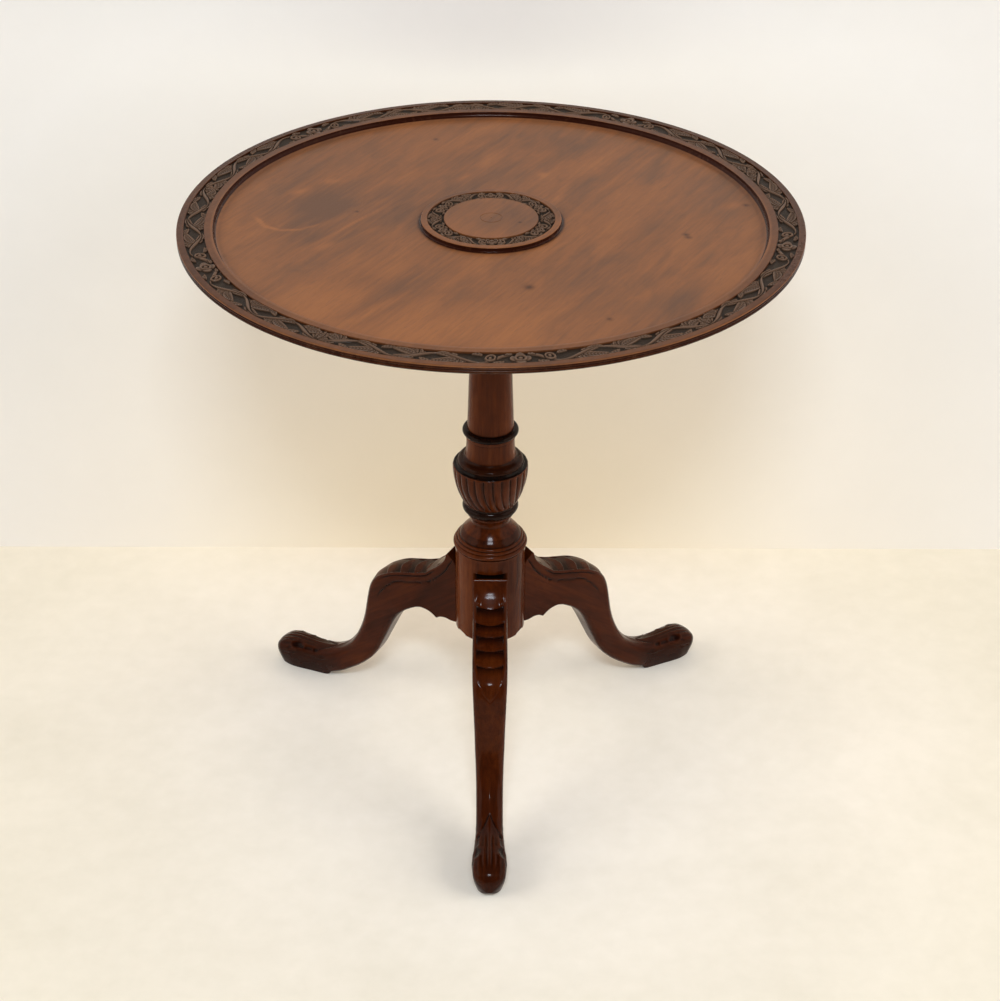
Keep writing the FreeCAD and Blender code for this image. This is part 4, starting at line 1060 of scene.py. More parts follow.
@dataclass
class TopBoard:
    """The dished top with its moulded edge and raised roundel."""

    height: float = RIM_LEVEL
    thickness: float = 18.0
    radius: float = 340.0
    edge_depth: float = 8.4
    under_radius: float = 294.8
    chamfer_radius: float = 330.8
    lip: float = 301.0
    floor: float = 701.0
    roundel: float = 76.7
    columns: int = 960
    spacing: float = 3.0
    # darker edge mouldings and roundel foot, and a painted shadow in the cove round the dish
    stains_and_shade: tuple[Row, ...] = (
        # least and greatest r, least and greatest z, darkness
        (339.0, 341.0, 699.0, 706.6, 0.8),
        (338.2, 339.2, 699.0, 706.4, 1.0),
        (330.0, 338.6, 699.0, 700.0, 0.6),
        (332.0, 339.5, 707.0, 709.0, 0.36),
        (302.4, 311.0, 707.0, 709.0, 0.24),
        # painted shadow in the cove round the dish
        (297.4, 301.35, 702.0, 707.95, 1.0),
        (76.4, 78.6, 701.0, 705.6, 1.0),
        (70.2, 76.0, 706.0, 706.3, 0.14),
    )
    patches: tuple[Row, ...] = (
        # x, y, half the length, half the width, direction in degrees, lighter or darker
        (0.0, 0.0, 62.0, 62.0, 0.0, -0.9), (-215.0, 60.0, 90.0, 130.0, 0.0, -0.6),
        (0.0, -205.0, 150.0, 70.0, 0.0, 0.8),
        (-40.0, -262.0, 240.0, 60.0, 0.0, 0.9), (-215.0, -190.0, 120.0, 46.0, -48.0, 0.75),
        (200.0, -190.0, 110.0, 60.0, 48.0, -0.3), (-195.0, 60.0, 150.0, 100.0, 80.0, -0.5),
        (250.0, 60.0, 170.0, 90.0, 90.0, -0.55), (0.0, 0.0, 80.0, 80.0, 0.0, -0.6),
        (150.0, 60.0, 120.0, 70.0, 60.0, 0.35), (0.0, 235.0, 200.0, 50.0, 0.0, -0.3),
        (-186.0, 44.0, 62.0, 26.0, 62.0, -1.0), (-202.0, -36.0, 44.0, 30.0, 40.0, -1.0),
        (-86.0, 160.0, 92.0, 28.0, 38.0, -0.9), (97.0, 207.0, 52.0, 24.0, 62.0, -0.9),
        (97.0, 90.0, 46.0, 22.0, 66.0, -0.8), (-118.0, -150.0, 62.0, 30.0, -24.0, -0.8),
        (-38.0, -166.0, 46.0, 22.0, 60.0, -0.9), (152.0, -60.0, 70.0, 30.0, 62.0, -0.7),
        (193.0, -178.0, 56.0, 30.0, 60.0, -0.8), (60.0, -120.0, 60.0, 24.0, 60.0, -0.6),
        (-252.0, 0.0, 14.0, 3.2, -62.0, 2.6), (-238.0, -17.0, 13.0, 3.2, -30.0, 2.6),
        (-217.0, -22.0, 15.0, 2.8, 6.0, 2.2), (-197.0, -14.0, 14.0, 2.8, 36.0, 2.0),
        (-152.0, -7.0, 74.0, 3.0, 54.0, 1.8), (-178.0, -62.0, 16.0, 7.0, 54.0, 1.3),
        (-216.0, 79.0, 13.0, 6.0, 40.0, 1.5), (-180.0, 108.0, 16.0, 8.0, 20.0, 1.3),
        (-31.0, 121.0, 18.0, 6.0, 60.0, 1.4), (-6.0, 166.0, 40.0, 10.0, 60.0, 1.2),
        (59.0, 128.0, 9.0, 7.0, 70.0, 1.7), (76.0, 72.0, 48.0, 7.0, 72.0, 1.2),
        (268.0, 44.0, 22.0, 9.0, 35.0, 1.3), (-120.0, -210.0, 60.0, 9.0, 52.0, 0.9),
    )
    patch_strength: float = 0.55
    patch_fall: float = 1.6
    spot_soil: float = 0.8
    fillet_soil: float = 0.42
    inner_fillet_end: float = 312.0
    inner_fillet_share: float = 0.8
    outer_fillet: Pair = (331.0, 333.0)
    front_start: float = 0.72  # how far round to the front the fillets are cleaner
    front_relief: float = 0.85
    spots: tuple[Row, ...] = (
        # x, y and size of the small dark marks
        (39.0, -158.0, 5.0), (210.0, -31.0, 3.4), (212.0, -38.0, 3.4), (283.0, 46.0, 3.6),
        (-66.0, 232.0, 3.0), (31.0, -12.0, 1.8), (118.0, -228.0, 2.6), (-148.0, 26.0, 2.2),
    )

    def section(self) -> Array:
        """The board's half section, from the middle of its underside outwards."""
        top, floor, under = self.height, self.floor, self.height - self.thickness
        quirk = self.radius - 1.2
        foot = top - self.edge_depth
        crest = ROUNDEL_LEVEL
        rim_in, rim_out = RIM_BAND
        ring_in, ring_out = ROUNDEL_BAND
        members = [
            (0.4, under), (self.under_radius, under), (self.chamfer_radius, foot),
            (quirk - 0.3, foot), (quirk, foot + 0.2),
            (quirk, foot + 3.9, self.radius - 0.02, foot + 2.05, 12),
            (quirk, foot + 6.6, self.radius - 0.02, foot + 5.25, 12),
            (self.radius - 0.9, top - 1.8),
            (self.radius - 0.9, top, self.radius, top - 0.9, 10),
            (rim_out, top), (rim_out, top - BAND_SINK), (rim_in, top - BAND_SINK), (rim_in, top),
            (self.lip + 0.5, top),
            (self.lip, top - 0.5, self.lip + 0.15, top - 0.15, 3),
            (self.lip - 6.2, floor, self.lip - 1.8, floor + 2.0, 12),
            (self.roundel + 1.8, floor),
            (self.roundel, floor + 1.8, self.roundel + 0.5, floor + 0.5, 6),
            (self.roundel, crest - 0.9),
            (self.roundel - 0.9, crest, self.roundel - 0.25, crest - 0.25, 6),
            (ring_out, crest), (ring_out, crest - BAND_SINK),
            (ring_in, crest - BAND_SINK), (ring_in, crest),
            (12.6, crest), (12.2, crest - 0.35), (11.8, crest - 0.35), (11.4, crest),
            (0.9, crest), (0.4, crest - 0.5),
        ]
        return refined(moulding(members), self.spacing)

    def weather(self, board: Piece) -> None:
        """Mark the top's lighter and darker patches and its small dark spots."""
        mesh = board.data
        where = np.empty(len(mesh.vertices) * 3)
        mesh.vertices.foreach_get("co", where)
        x, y, _ = where.reshape(-1, 3).T / MM
        tone = np.zeros_like(x)
        for middle_x, middle_y, length, width, heading, strength in self.patches:
            along, across = turned_frame(x - middle_x, y - middle_y, heading)
            spread = (along / length) ** 2 + (across / width) ** 2
            fall = np.exp(-self.patch_fall * spread)
            tone += self.patch_strength * strength * fall
        mesh.attributes.new("tone", "FLOAT", "POINT").data.foreach_set("value", tone)
        polish_and_shade = np.empty(len(x))
        mesh.attributes["polish_and_shade"].data.foreach_get("value", polish_and_shade)
        radius = np.hypot(x, y)
        front = 0.5 - 0.5 * y / np.maximum(radius, 1.0)
        inner = smoothstep(self.lip, self.lip + 1.0, radius) * (radius < self.inner_fillet_end)
        fillets = smoothstep(*self.outer_fillet, radius) + self.inner_fillet_share * inner
        # the fillets are darkened less towards the front
        worn_and_highlight = 1.0 - self.front_relief * smoothstep(self.front_start, 1.0, front)
        polish_and_shade += self.fillet_soil * fillets * worn_and_highlight
        for middle_x, middle_y, size in self.spots:
            polish_and_shade += self.spot_soil * hill(np.hypot(x - middle_x, y - middle_y), 0.0, size)
        mesh.attributes["polish_and_shade"].data.foreach_set("value", clamped(polish_and_shade))

    def build(self) -> Piece:
        """Turn the board and dress it.

        Returns:
            The board.
        """
        angles = ring_angles(self.columns)
        board = lathe("top_board_polished", self.section(), angles, self.stains_and_shade)
        self.weather(board)
        dress(board, Finish.TOP)
        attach(board, "top")
        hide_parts("top_board")
        return board


# Pillar

@dataclass
class Pillar:
    """The turned pillar with its reeded urn and the seats of the legs."""

    foot: float = 162.0
    drum: float = 42.0
    seat: float = 36.66
    slot_top: float = 261.4
    slot_half: float = 20.55
    leg_angles: Row = (-90.0, 32.0, 152.0)
    scallop_from_leg: float = 61.0
    scallop_height: float = 2.4
    scallop_half: float = 0.20
    columns: int = 720
    spacing: float = 2.2
    bell_points: int = 26
    reeds: int = 25
    reed_depth: float = 2.3
    reed_foot: float = 345.0
    reed_head: float = 393.6
    reed_swing: float = 0.24
    reed_bend: float = 3.4
    reed_taper: float = 0.28
    reed_ends: Row = (-0.02, 0.07, 0.93, 1.03)  # shares of a reed where it eases in and out
    slot_core: float = 25.0
    edge_start: float = 39.0
    edge_height: float = 1.6
    # darker rings, coves and quirks: partly old polish, partly painted shade
    stains_and_shade: tuple[Row, ...] = (
        # least and greatest r, least and greatest z, darkness
        (27.5, 34.0, 435.2, 443.0, 0.92),
        (28.6, 38.8, 394.6, 407.0, 0.74),
        (39.0, 43.4, 393.4, 397.8, 0.97),
        (30.0, 34.0, 327.8, 343.6, 0.86),
        (29.0, 36.9, 296.0, 303.4, 0.45),
        (36.2, 37.2, 295.0, 296.4, 0.8),
        (39.0, 40.0, 291.5, 292.4, 0.9),
        (40.0, 41.7, 280.1, 281.7, 1.0),
    )
    bell_curve: tuple[Place, ...] = (
        # height and radius of the smooth bell over the drum, up to the neck
        (296.2, 36.6), (298.0, 35.78), (300.0, 34.40), (302.0, 32.71), (304.0, 30.93),
        (306.0, 29.25), (308.0, 27.71), (310.0, 26.30), (312.0, 25.09), (315.2, 23.70),
    )

    def bell(self) -> list[Place]:
        """The bell over the drum as points of the section."""
        heights, radii = np.array(self.bell_curve).T
        fine = np.linspace(heights[0], heights[-1], self.bell_points)
        return list(zip(eased_curve(heights, radii, fine), fine))

    def section(self) -> Array:
        """The pillar's half section upwards from its underside."""
        members = [
            (0.4, self.foot), (40.5, self.foot), (41.2, self.foot + 0.3),
            (42.0, self.foot + 1.5, 41.8, self.foot + 0.75, 4),
            (42.0, self.slot_top), (42.0, self.slot_top + 0.01), (42.0, 280.0), (40.8, 280.2),
            (40.8, 281.6), (42.6, 281.7),
            (42.6, 287.8, 44.4, 284.7, 12), (41.6, 288.1), (42.0, 288.4),
            (39.6, 291.8, 41.75, 290.5, 8), (39.4, 292.0),
            (36.9, 295.4, 38.8, 294.1, 8),
            *self.bell(),
            (27.4, 326.2, 24.8, 321.5, 12), (28.3, 326.4), (28.3, 328.0), (28.4, 328.2),
            (31.2, 331.2), (31.2, 340.5, 33.3, 335.9, 12), (30.8, 340.7), (30.8, 343.2),
            (32.2, 343.6), (44.4, 391.0, 41.45, 367.3, 40),
            (42.8, 394.5, 44.15, 393.0, 6), (40.6, 394.7), (39.2, 397.4),
            (38.6, 397.6), (33.6, 403.2, 37.5, 401.2, 8), (32.6, 403.4),
            (29.3, 408.6, 30.2, 405.6, 8), (28.3, 429.0, 28.4, 418.6, 10),
            (28.3, 431.2), (29.4, 431.4), (29.4, 434.8), (28.6, 435.2),
            (28.2, 442.6, 32.8, 439.0, 14), (27.2, 442.8),
            (20.8, 632.7), (20.8, 638.7, 23.6, 635.7, 8), (21.6, 639.0),
            (31.0, 654.7, 24.0, 648.5, 10), (31.0, 659.7), (17.0, 659.71), (17.0, 689.1),
            (0.4, 689.1),
        ]
        return refined(moulding(members), self.spacing)

    def work(self, radius: Array, height: Array, azimuth: Array) -> tuple[Array, Array]:
        """Cut the reeds, the leg seats and the scalloped lower edge.

        Args:
            radius: Turned radius at each point.
            height: Height of each point.
            azimuth: Azimuth of each point.

        Returns:
            The worked radius and height.
        """
        t = clamped((self.reed_head - height) / (self.reed_head - self.reed_foot))
        inside = (height > self.reed_foot - 1.5) & (height < self.reed_head + 0.8)
        phase = (azimuth - self.reed_swing * t**self.reed_bend) * self.reeds / FULL_TURN
        across = 2.0 * (phase - np.floor(phase)) - 1.0
        hollow = 1.0 - np.sqrt(clamped(1.0 - across**2))
        depth = self.reed_depth * hollow * between(*self.reed_ends, t)
        radius = radius - np.where(inside, depth * (1.0 - self.reed_taper * t), 0.0)
        slot_reach = math.asin(self.slot_half / self.drum)
        for angle in self.leg_angles:
            away = turned_from(azimuth, angle)
            flat = self.seat / np.maximum(np.cos(away), 0.3)
            in_slot = (height <= self.slot_top) & (np.abs(away) < slot_reach)
            in_slot = in_slot & (radius > self.slot_core)
            radius = np.where(in_slot, np.minimum(radius, flat), radius)
            middle = turned_from(azimuth, angle + self.scallop_from_leg)
            notch = np.sqrt(clamped(1.0 - (middle / self.scallop_half) ** 2))
            on_edge = (radius > self.edge_start) & (height < self.foot + self.edge_height)
            height = height + self.scallop_height * notch * on_edge
        return radius, height

    def build(self) -> Piece:
        """Turn the pillar, work it and dress it.

        Returns:
            The pillar.
        """
        angles = ring_angles(self.columns)
        pillar = lathe("pillar_polished", self.section(), angles, self.stains_and_shade, self.work)
        dress(pillar, Finish.STEM)
        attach(pillar, "stand")
        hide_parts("pillar")
        return pillar


# Legs

@dataclass(frozen=True)
class CarvedLine:
    """A line that is carved along a leg, eased in at its start and out at its end."""

    lift: float  # negative where it cuts in
    half: float
    start: float
    full: float
    fade: float = 9000.0  # runs on to the leg's end
    end: float = 9001.0

    def carve(self, away: Array, along: Array) -> Array:
        """The lift at distances away from the line's middle."""
        ends = between(self.start, self.full, self.fade, self.end, along)
        return self.lift * hill(away, 0.0, self.half) * ends


@dataclass
class Leg:
    """One cabriole leg, carved on the knee and on the foot."""

    node: str
    angle: float
    half: float = 20.5
    spacing: float = 1.0
    top_points: int = 34
    corner_points: int = 9
    side_points: int = 24
    bottom_points: int = 12
    knot_points: int = 24
    roundness: float = 1.7
    boss: Pair = (7.0, 37.5)
    scale_edges: Row = (37.5, 57.5, 75.0, 96.0, 118.0, 143.0)
    panel_half: float = 16.5
    chevron: float = 5.0
    scale_root: float = -1.4
    scale_rise: float = 1.55
    scale_drop: float = 0.55
    scale_round: float = 0.4
    boss_swell: float = 1.0
    boss_fall: float = 0.3
    boss_round: float = 1.3
    ear: Row = (30.0, 14.0, 1.1, 3.2, 2.0)  # along, across, height, half sizes
    nose_end: float = 156.0
    nose_rib: Row = (-0.3, 0.22, 3.0)  # level, height, spacing
    near_depth: float = 2.8
    far_depth: Pair = (12.0, 5.0)  # at the pillar, and how much lower by the point
    panel_line: CarvedLine = CarvedLine(-0.5, 0.75, 18.0, 30.0, 153.0, 156.0)
    point_line: CarvedLine = CarvedLine(-0.45, 0.8, 114.0, 120.0, 159.0, 163.0)
    near_line: CarvedLine = CarvedLine(-1.3, 0.95, 34.0, 46.0, 114.0, 124.0)
    far_line: CarvedLine = CarvedLine(-1.3, 1.0, 6.0, 20.0, 134.0, 156.0)
    ankle_ridge: CarvedLine = CarvedLine(0.5, 1.7, 248.0, 264.0, 288.0, 300.0)
    leaf_line: CarvedLine = CarvedLine(-1.0, 0.9, 294.0, 300.0)
    leaf_rib: CarvedLine = CarvedLine(0.45, 2.2, -2.0, -1.0, 322.0, 346.0)
    pad_line: CarvedLine = CarvedLine(-0.5, 1.2, 230.0, 240.0, 292.0, 308.0)
    rib_height: float = 0.36
    rib_spacing: float = 0.31  # of half the leg's width
    leaf_sink: float = 0.35
    leaf_start: Pair = (292.0, 304.0)  # along the top, where it begins and where it is whole
    leaf_side: Pair = (12.0, 5.0)  # down the side, where it is gone and where it is whole
    rib_start: Pair = (318.0, 340.0)
    rib_end: Pair = (308.0, 298.0)  # from the pillar's axis, gone and whole
    pad_wave: Row = (13.0, 1.6, 248.0, 44.0)  # depth, height, a crest, spacing
    foot_start: float = 290.0
    knee_end: float = 160.0
    knee_soil: Pair = (0.55, 0.9)  # depth of a cut where it starts, and how much more fills it
    foot_soil: Pair = (0.2, 0.4)  # on the top, and more of it down the side
    rub_height: float = 1.6
    panel: tuple[Place, ...] = (
        # distance along the top and half the width of the carved panel there
        (0.0, 16.6), (106.0, 16.5), (121.0, 15.2), (130.0, 13.6), (137.0, 11.6), (143.0, 8.6),
        (148.0, 5.0), (153.0, 0.0), (158.0, -4.0),
    )
    apron: tuple[Place, ...] = (
        # distance along the top and place of the outer line round the panel's point
        (108.0, 22.0), (116.0, 20.8), (126.0, 18.6), (136.0, 15.6), (146.0, 10.5), (154.0, 5.0),
        (160.0, 0.0), (164.0, -3.0),
    )
    leaf_edge: tuple[Place, ...] = (
        # distance along the top and half the width of the foot's leaf there
        (290.0, -3.0), (296.0, 0.0), (311.5, 6.4), (318.5, 10.2), (326.5, 13.0), (336.5, 14.8),
        (347.5, 16.2), (360.0, 18.2), (380.0, 24.0),
    )
    hollows: tuple[Row, ...] = (
        # r and distance from the top's edge of the middle, size along and across, depth
        (279.0, -0.6, 9.0, 6.2, 1.6),
        (252.0, 1.0, 4.4, 3.4, 1.2),
        (243.0, 8.6, 8.5, 3.2, 0.9),
    )
    stations: tuple[Row, ...] = (
        # upper r and z, lower r and z, width, sole's width, crown, top and bottom corner
        (48.2, 260.2, 47.4, 259.8, 0.985, 1.00, 0.1, 0.3, 0.3),
        (49.0, 259.9, 46.6, 259.2, 0.995, 1.00, 0.1, 0.6, 0.6),
        (50.2, 258.6, 45.8, 258.5, 1.000, 1.00, 0.1, 1.0, 0.8),
        (50.8, 257.6, 45.2, 257.8, 1.000, 1.00, 0.2, 1.4, 0.9),
        (51.3, 256.2, 44.2, 256.8, 1.000, 1.00, 0.2, 1.8, 1.0),
        (52.8, 251.6, 41.6, 254.4, 1.000, 1.00, 0.3, 2.6, 1.2),
        (55.4, 246.4, 38.4, 250.6, 1.000, 1.00, 0.4, 3.2, 1.2),
        (59.2, 241.5, 36.7, 245.6, 1.000, 1.00, 0.6, 3.6, 1.0),
        (63.6, 237.0, 36.7, 234.0, 1.000, 1.00, 0.8, 3.8, 0.8),
        (68.0, 233.0, 36.7, 221.0, 1.000, 1.00, 0.9, 4.0, 0.8),
        (72.2, 229.5, 36.7, 208.0, 1.000, 1.00, 1.0, 4.0, 0.8),
        (75.8, 226.6, 36.7, 194.0, 1.000, 1.00, 1.2, 4.0, 0.8),
        (78.8, 224.2, 36.7, 180.0, 1.000, 1.00, 1.4, 4.2, 0.8),
        (81.0, 222.4, 36.7, 168.0, 1.000, 1.00, 1.5, 4.2, 0.8),
        (82.0, 221.4, 36.7, 162.2, 1.000, 1.00, 1.6, 4.2, 0.8),
        (83.4, 220.9, 43.0, 161.6, 1.000, 1.00, 1.6, 4.2, 1.2),
        (85.2, 220.3, 52.0, 163.0, 1.000, 1.00, 1.7, 4.2, 1.6),
        (87.2, 219.6, 59.0, 162.0, 1.000, 1.00, 1.8, 4.3, 1.8),
        (89.4, 218.8, 65.0, 158.6, 1.000, 1.00, 1.9, 4.3, 1.8),
        (92.6, 217.6, 70.5, 162.4, 1.000, 1.00, 2.0, 4.4, 2.2),
        (97.0, 216.3, 77.5, 165.4, 1.000, 1.00, 2.1, 4.5, 2.6),
        (103.0, 214.8, 85.5, 166.5, 1.005, 1.00, 2.3, 4.6, 3.0),
        (112.0, 212.4, 93.0, 164.8, 1.010, 1.00, 2.5, 4.8, 3.4),
        (123.0, 209.6, 99.5, 161.3, 1.010, 1.00, 2.8, 5.2, 3.8),
        (134.0, 205.2, 105.0, 157.6, 1.010, 1.00, 3.1, 5.8, 4.4),
        (144.5, 199.0, 110.5, 153.4, 1.008, 1.00, 3.4, 6.4, 5.0),
        (153.5, 192.0, 116.0, 148.2, 1.003, 1.00, 3.7, 7.2, 5.6),
        (160.5, 184.0, 121.0, 142.6, 0.987, 1.00, 4.0, 7.8, 6.2),
        (165.8, 172.5, 126.5, 134.8, 0.961, 1.00, 4.4, 8.2, 6.8),
        (169.2, 159.0, 131.5, 126.0, 0.937, 1.00, 4.8, 8.4, 7.4),
        (172.4, 143.5, 137.0, 115.0, 0.909, 1.00, 5.0, 9.6, 7.8),
        (175.8, 126.5, 143.0, 101.5, 0.877, 1.00, 5.2, 10.2, 7.8),
        (180.6, 109.0, 150.0, 86.0, 0.853, 1.00, 5.2, 10.6, 7.6),
        (186.2, 94.5, 157.0, 71.0, 0.820, 1.00, 5.2, 10.6, 7.4),
        (193.6, 79.5, 165.0, 58.2, 0.796, 1.00, 5.2, 10.6, 7.2),
        (202.6, 66.0, 175.0, 46.8, 0.780, 1.00, 5.2, 10.6, 7.0),
        (213.0, 55.9, 187.0, 35.6, 0.773, 0.98, 5.2, 10.4, 6.8),
        (223.0, 49.4, 200.0, 25.6, 0.771, 0.94, 5.4, 10.4, 6.4),
        (232.6, 45.2, 213.0, 16.6, 0.773, 0.88, 5.6, 10.4, 5.6),
        (241.0, 42.9, 224.5, 10.6, 0.782, 0.79, 5.8, 10.2, 4.6),
        (248.0, 41.9, 232.0, 7.0, 0.802, 0.70, 6.0, 10.8, 3.6),
        (252.5, 41.6, 236.8, 1.2, 0.818, 0.60, 6.0, 11.2, 2.0),
        (257.0, 41.5, 240.5, 0.0, 0.834, 0.59, 6.0, 11.6, 1.6),
        (264.0, 41.7, 252.0, 0.0, 0.870, 0.65, 6.2, 12.2, 1.6),
        (272.0, 42.1, 264.0, 0.0, 0.915, 0.69, 6.4, 12.8, 1.6),
        (281.0, 42.3, 277.0, 0.0, 0.970, 0.74, 6.4, 13.2, 1.6),
        (290.0, 41.6, 288.0, 0.0, 0.995, 0.77, 6.2, 13.0, 1.8),
        (298.0, 39.8, 296.0, 0.0, 0.960, 0.76, 5.6, 12.0, 2.2),
        (304.8, 36.8, 302.0, 0.2, 0.920, 0.74, 4.8, 10.6, 3.0),
        (310.0, 33.4, 307.2, 1.4, 0.800, 0.70, 4.0, 8.8, 4.0),
        (313.8, 29.4, 311.6, 3.8, 0.610, 0.68, 2.9, 6.6, 4.2),
        (316.2, 25.0, 315.0, 7.4, 0.380, 0.74, 1.8, 4.4, 3.4),
        (317.3, 20.6, 317.1, 10.6, 0.170, 0.84, 0.8, 2.2, 1.8),
        (317.6, 17.6, 317.5, 13.4, 0.060, 0.90, 0.3, 0.8, 0.7),
    )
    breaks: tuple[int, ...] = (14, 18, 40, 42)

    def rulings(self) -> Array:
        """Stations close together along the leg, sharp at the breaks.

        Returns:
            One row per station, with the columns of the station table.
        """
        table = np.array(self.stations)
        pieces = []
        bounds = [0, *self.breaks, len(table) - 1]
        for first, last in pairwise(bounds):
            part = table[first:last + 1]
            if len(part) > 2:
                knots = np.arange(len(part), dtype=float)
                fine = np.linspace(0.0, knots[-1], self.knot_points * (len(part) - 1) + 1)
                part = np.stack([eased_curve(knots, column, fine) for column in part.T], axis=1)
            step = np.maximum(np.hypot(*np.diff(part[:, 0:2], axis=0).T),
                              np.hypot(*np.diff(part[:, 2:4], axis=0).T))
            along = running(step)
            count = max(2, math.ceil(along[-1] / self.spacing))
            at = np.linspace(0.0, along[-1], count + 1)
            at = at if last == len(table) - 1 else at[:-1]
            pieces.append(np.stack([np.interp(at, along, column) for column in part.T], axis=1))
        return np.concatenate(pieces)

    def outline_of(self, row: Array) -> tuple[Array, Array, Array]:
        """The cross-section at one station.

        Args:
            row: One row of the station table.

        Returns:
            Lateral places, heights above the lower point, and how far each point lies
            from the top's edge: negative on the top, positive down the side.
        """
        upper_r, upper_z, lower_r, lower_z, wide, sole, crown, round_top, round_low = row
        tall = math.hypot(upper_r - lower_r, upper_z - lower_z)
        half = self.half * wide
        low_half = half * sole
        # no rounding takes more than its side has room for
        top_r = min(round_top, half * 0.85, tall * 0.45)
        low_r = min(round_low, low_half * 0.9, tall * 0.4)
        crown = min(crown, tall * 0.3)
        flat = half - top_r
        t = np.linspace(0.0, 1.0, self.top_points // 2 + 1)[:-1]
        top_b = flat * t
        top_a = tall - crown * (top_b / half) ** self.roundness
        shoulder = tall - crown * (flat / half) ** self.roundness
        phi = np.linspace(0.0, math.pi / 2, self.corner_points + 1)[:-1]
        corner_b = flat + top_r * np.sin(phi)
        corner_a = shoulder - top_r * (1.0 - np.cos(phi))
        s = np.linspace(0.0, 1.0, self.side_points + 1)[:-1]
        side_a = shoulder - top_r + (low_r - shoulder + top_r) * s
        side_b = half - (half - low_half) * s**self.roundness
        low_b = low_half - low_r * (1.0 - np.cos(phi))
        low_a = low_r * (1.0 - np.sin(phi))
        u = np.linspace(0.0, 1.0, self.bottom_points // 2 + 1)[:-1]
        under_b = (low_half - low_r) * (1.0 - u)
        under_a = np.zeros_like(u)
        b = np.concatenate([top_b, corner_b, side_b, low_b, under_b, [0.0]])
        a = np.concatenate([top_a, corner_a, side_a, low_a, under_a, [0.0]])
        run = running(np.hypot(np.diff(b), np.diff(a)))
        edge = run[len(top_b) + self.corner_points // 2]
        depth = run - edge
        mirror = slice(-2, 0, -1)
        return (np.concatenate([b, -b[mirror]]), np.concatenate([a, a[mirror]]),
                np.concatenate([depth, depth[mirror]]))

    @staticmethod
    def traced(table: tuple[Place, ...], along: Array) -> Array:
        """Read a curve that is given as pairs of distance and place."""
        knots, values = np.array(table).T
        return eased_curve(knots, values, np.clip(along, knots[0], knots[-1]))

    def knee(self, along: Array, depth: Array, lateral: Array) -> Array:
        """The carving on the knee: a boss, overlapping scales and their pointed end.

        Args:
            along: Distance along the upper outline from the tongue's tip.
            depth: Distance from the top's edge, positive down the side.
            lateral: Place across the leg.

        Returns:
            The lift in millimetres, negative where it cuts in.
        """
        panel = self.traced(self.panel, along)
        away = np.abs(lateral)
        across = np.clip(away / self.panel_half, 0.0, 1.2)
        place = along + self.chevron * across**1.6
        lift = np.zeros_like(along)
        for first, last in pairwise(self.scale_edges):
            x = clamped((place - first) / (last - first))
            rise = self.scale_rise * clamped(x / 0.86) ** (1.35 if last < 120.0 else 0.8)
            drop = self.scale_drop * clamped((x - 0.84) / 0.16) ** 2
            scale = self.scale_root + rise - drop - self.scale_round * across**2
            lift = np.where((place >= first) & (place < last), scale, lift)
        x = clamped((place - self.boss[0]) / (self.boss[1] - self.boss[0]))
        round_off = np.sqrt(clamped(1.0 - clamped((x - 0.62) / 0.38) ** 2))
        swell = (self.boss_swell * smoothstep(0.0, 0.45, x) - self.boss_fall * x) * round_off
        swell = swell - self.boss_round * across**2 * smoothstep(0.0, 0.5, x)
        lift = np.where((x > 0.0) & (x < 1.0), swell, lift)
        at, side, height, long_half, wide_half = self.ear
        lift = lift + height * hill(along, at, long_half) * hill(away, side, wide_half)
        nose = (place >= self.scale_edges[-1]) & (along < self.nose_end)
        level, height, spacing = self.nose_rib
        lift = np.where(nose, level + height * np.cos(FULL_TURN * lateral / spacing), lift)
        on_top = depth < 2.0
        lift = lift * smoothstep(-0.3, 0.5, panel - away) * on_top
        outline = self.panel_line.carve(away - panel - 0.3, along) * on_top
        outer = self.traced(self.apron, along)
        point = self.point_line.carve(away - outer, along) * (depth < 3.0)
        shallow, deeper = self.far_depth
        low = shallow + deeper * smoothstep(96.0, 140.0, along)
        near = self.near_line.carve(depth - self.near_depth, along)
        return lift + outline + point + (near + self.far_line.carve(depth - low, along))

    def foot(self, along: Array, depth: Array, lateral: Array, out: Array, half: Array) -> Array:
        """The carving on the foot: a softly ribbed leaf with hollows along its edge.

        Args:
            along: Distance along the upper outline from the tongue's tip.
            depth: Distance from the top's edge, positive down the side.
            lateral: Place across the leg.
            out: Distance from the pillar's axis.
            half: Half the leg's width there.

        Returns:
            The lift in millimetres, negative where it cuts in.
        """
        edge = self.traced(self.leaf_edge, along)
        away = np.abs(lateral)
        inside = smoothstep(-0.4, 1.6, edge - away) * smoothstep(*self.leaf_start, along)
        spacing = np.maximum(half * self.rib_spacing, 1.6)
        ribs = self.rib_height * np.cos(FULL_TURN * lateral / spacing)
        ribs = ribs * smoothstep(*self.rib_start, along) * smoothstep(2.0, 9.0, half)
        ribs = ribs * smoothstep(*self.rib_end, out)
        leaf = inside * (ribs + self.leaf_rib.carve(lateral, along) - self.leaf_sink)
        leaf = leaf + self.leaf_line.carve(away - edge, along)
        leaf = leaf * smoothstep(*self.leaf_side, depth)
        side = np.zeros_like(along)
        for middle_r, middle_d, size_r, size_d, deep in self.hollows:
            reach = np.hypot((out - middle_r) / size_r, (depth - middle_d) / size_d)
            side = side - deep * smoothstep(1.0, 0.1, reach) + 0.3 * deep * hill(reach, 1.15, 0.16)
        low, height, crest, spacing = self.pad_wave
        pad_edge = low + height * np.cos(FULL_TURN * (out - crest) / spacing)
        side = side + self.pad_line.carve(depth - pad_edge, out)
        return self.ankle_ridge.carve(lateral, along) + leaf + side * (along > self.foot_start)

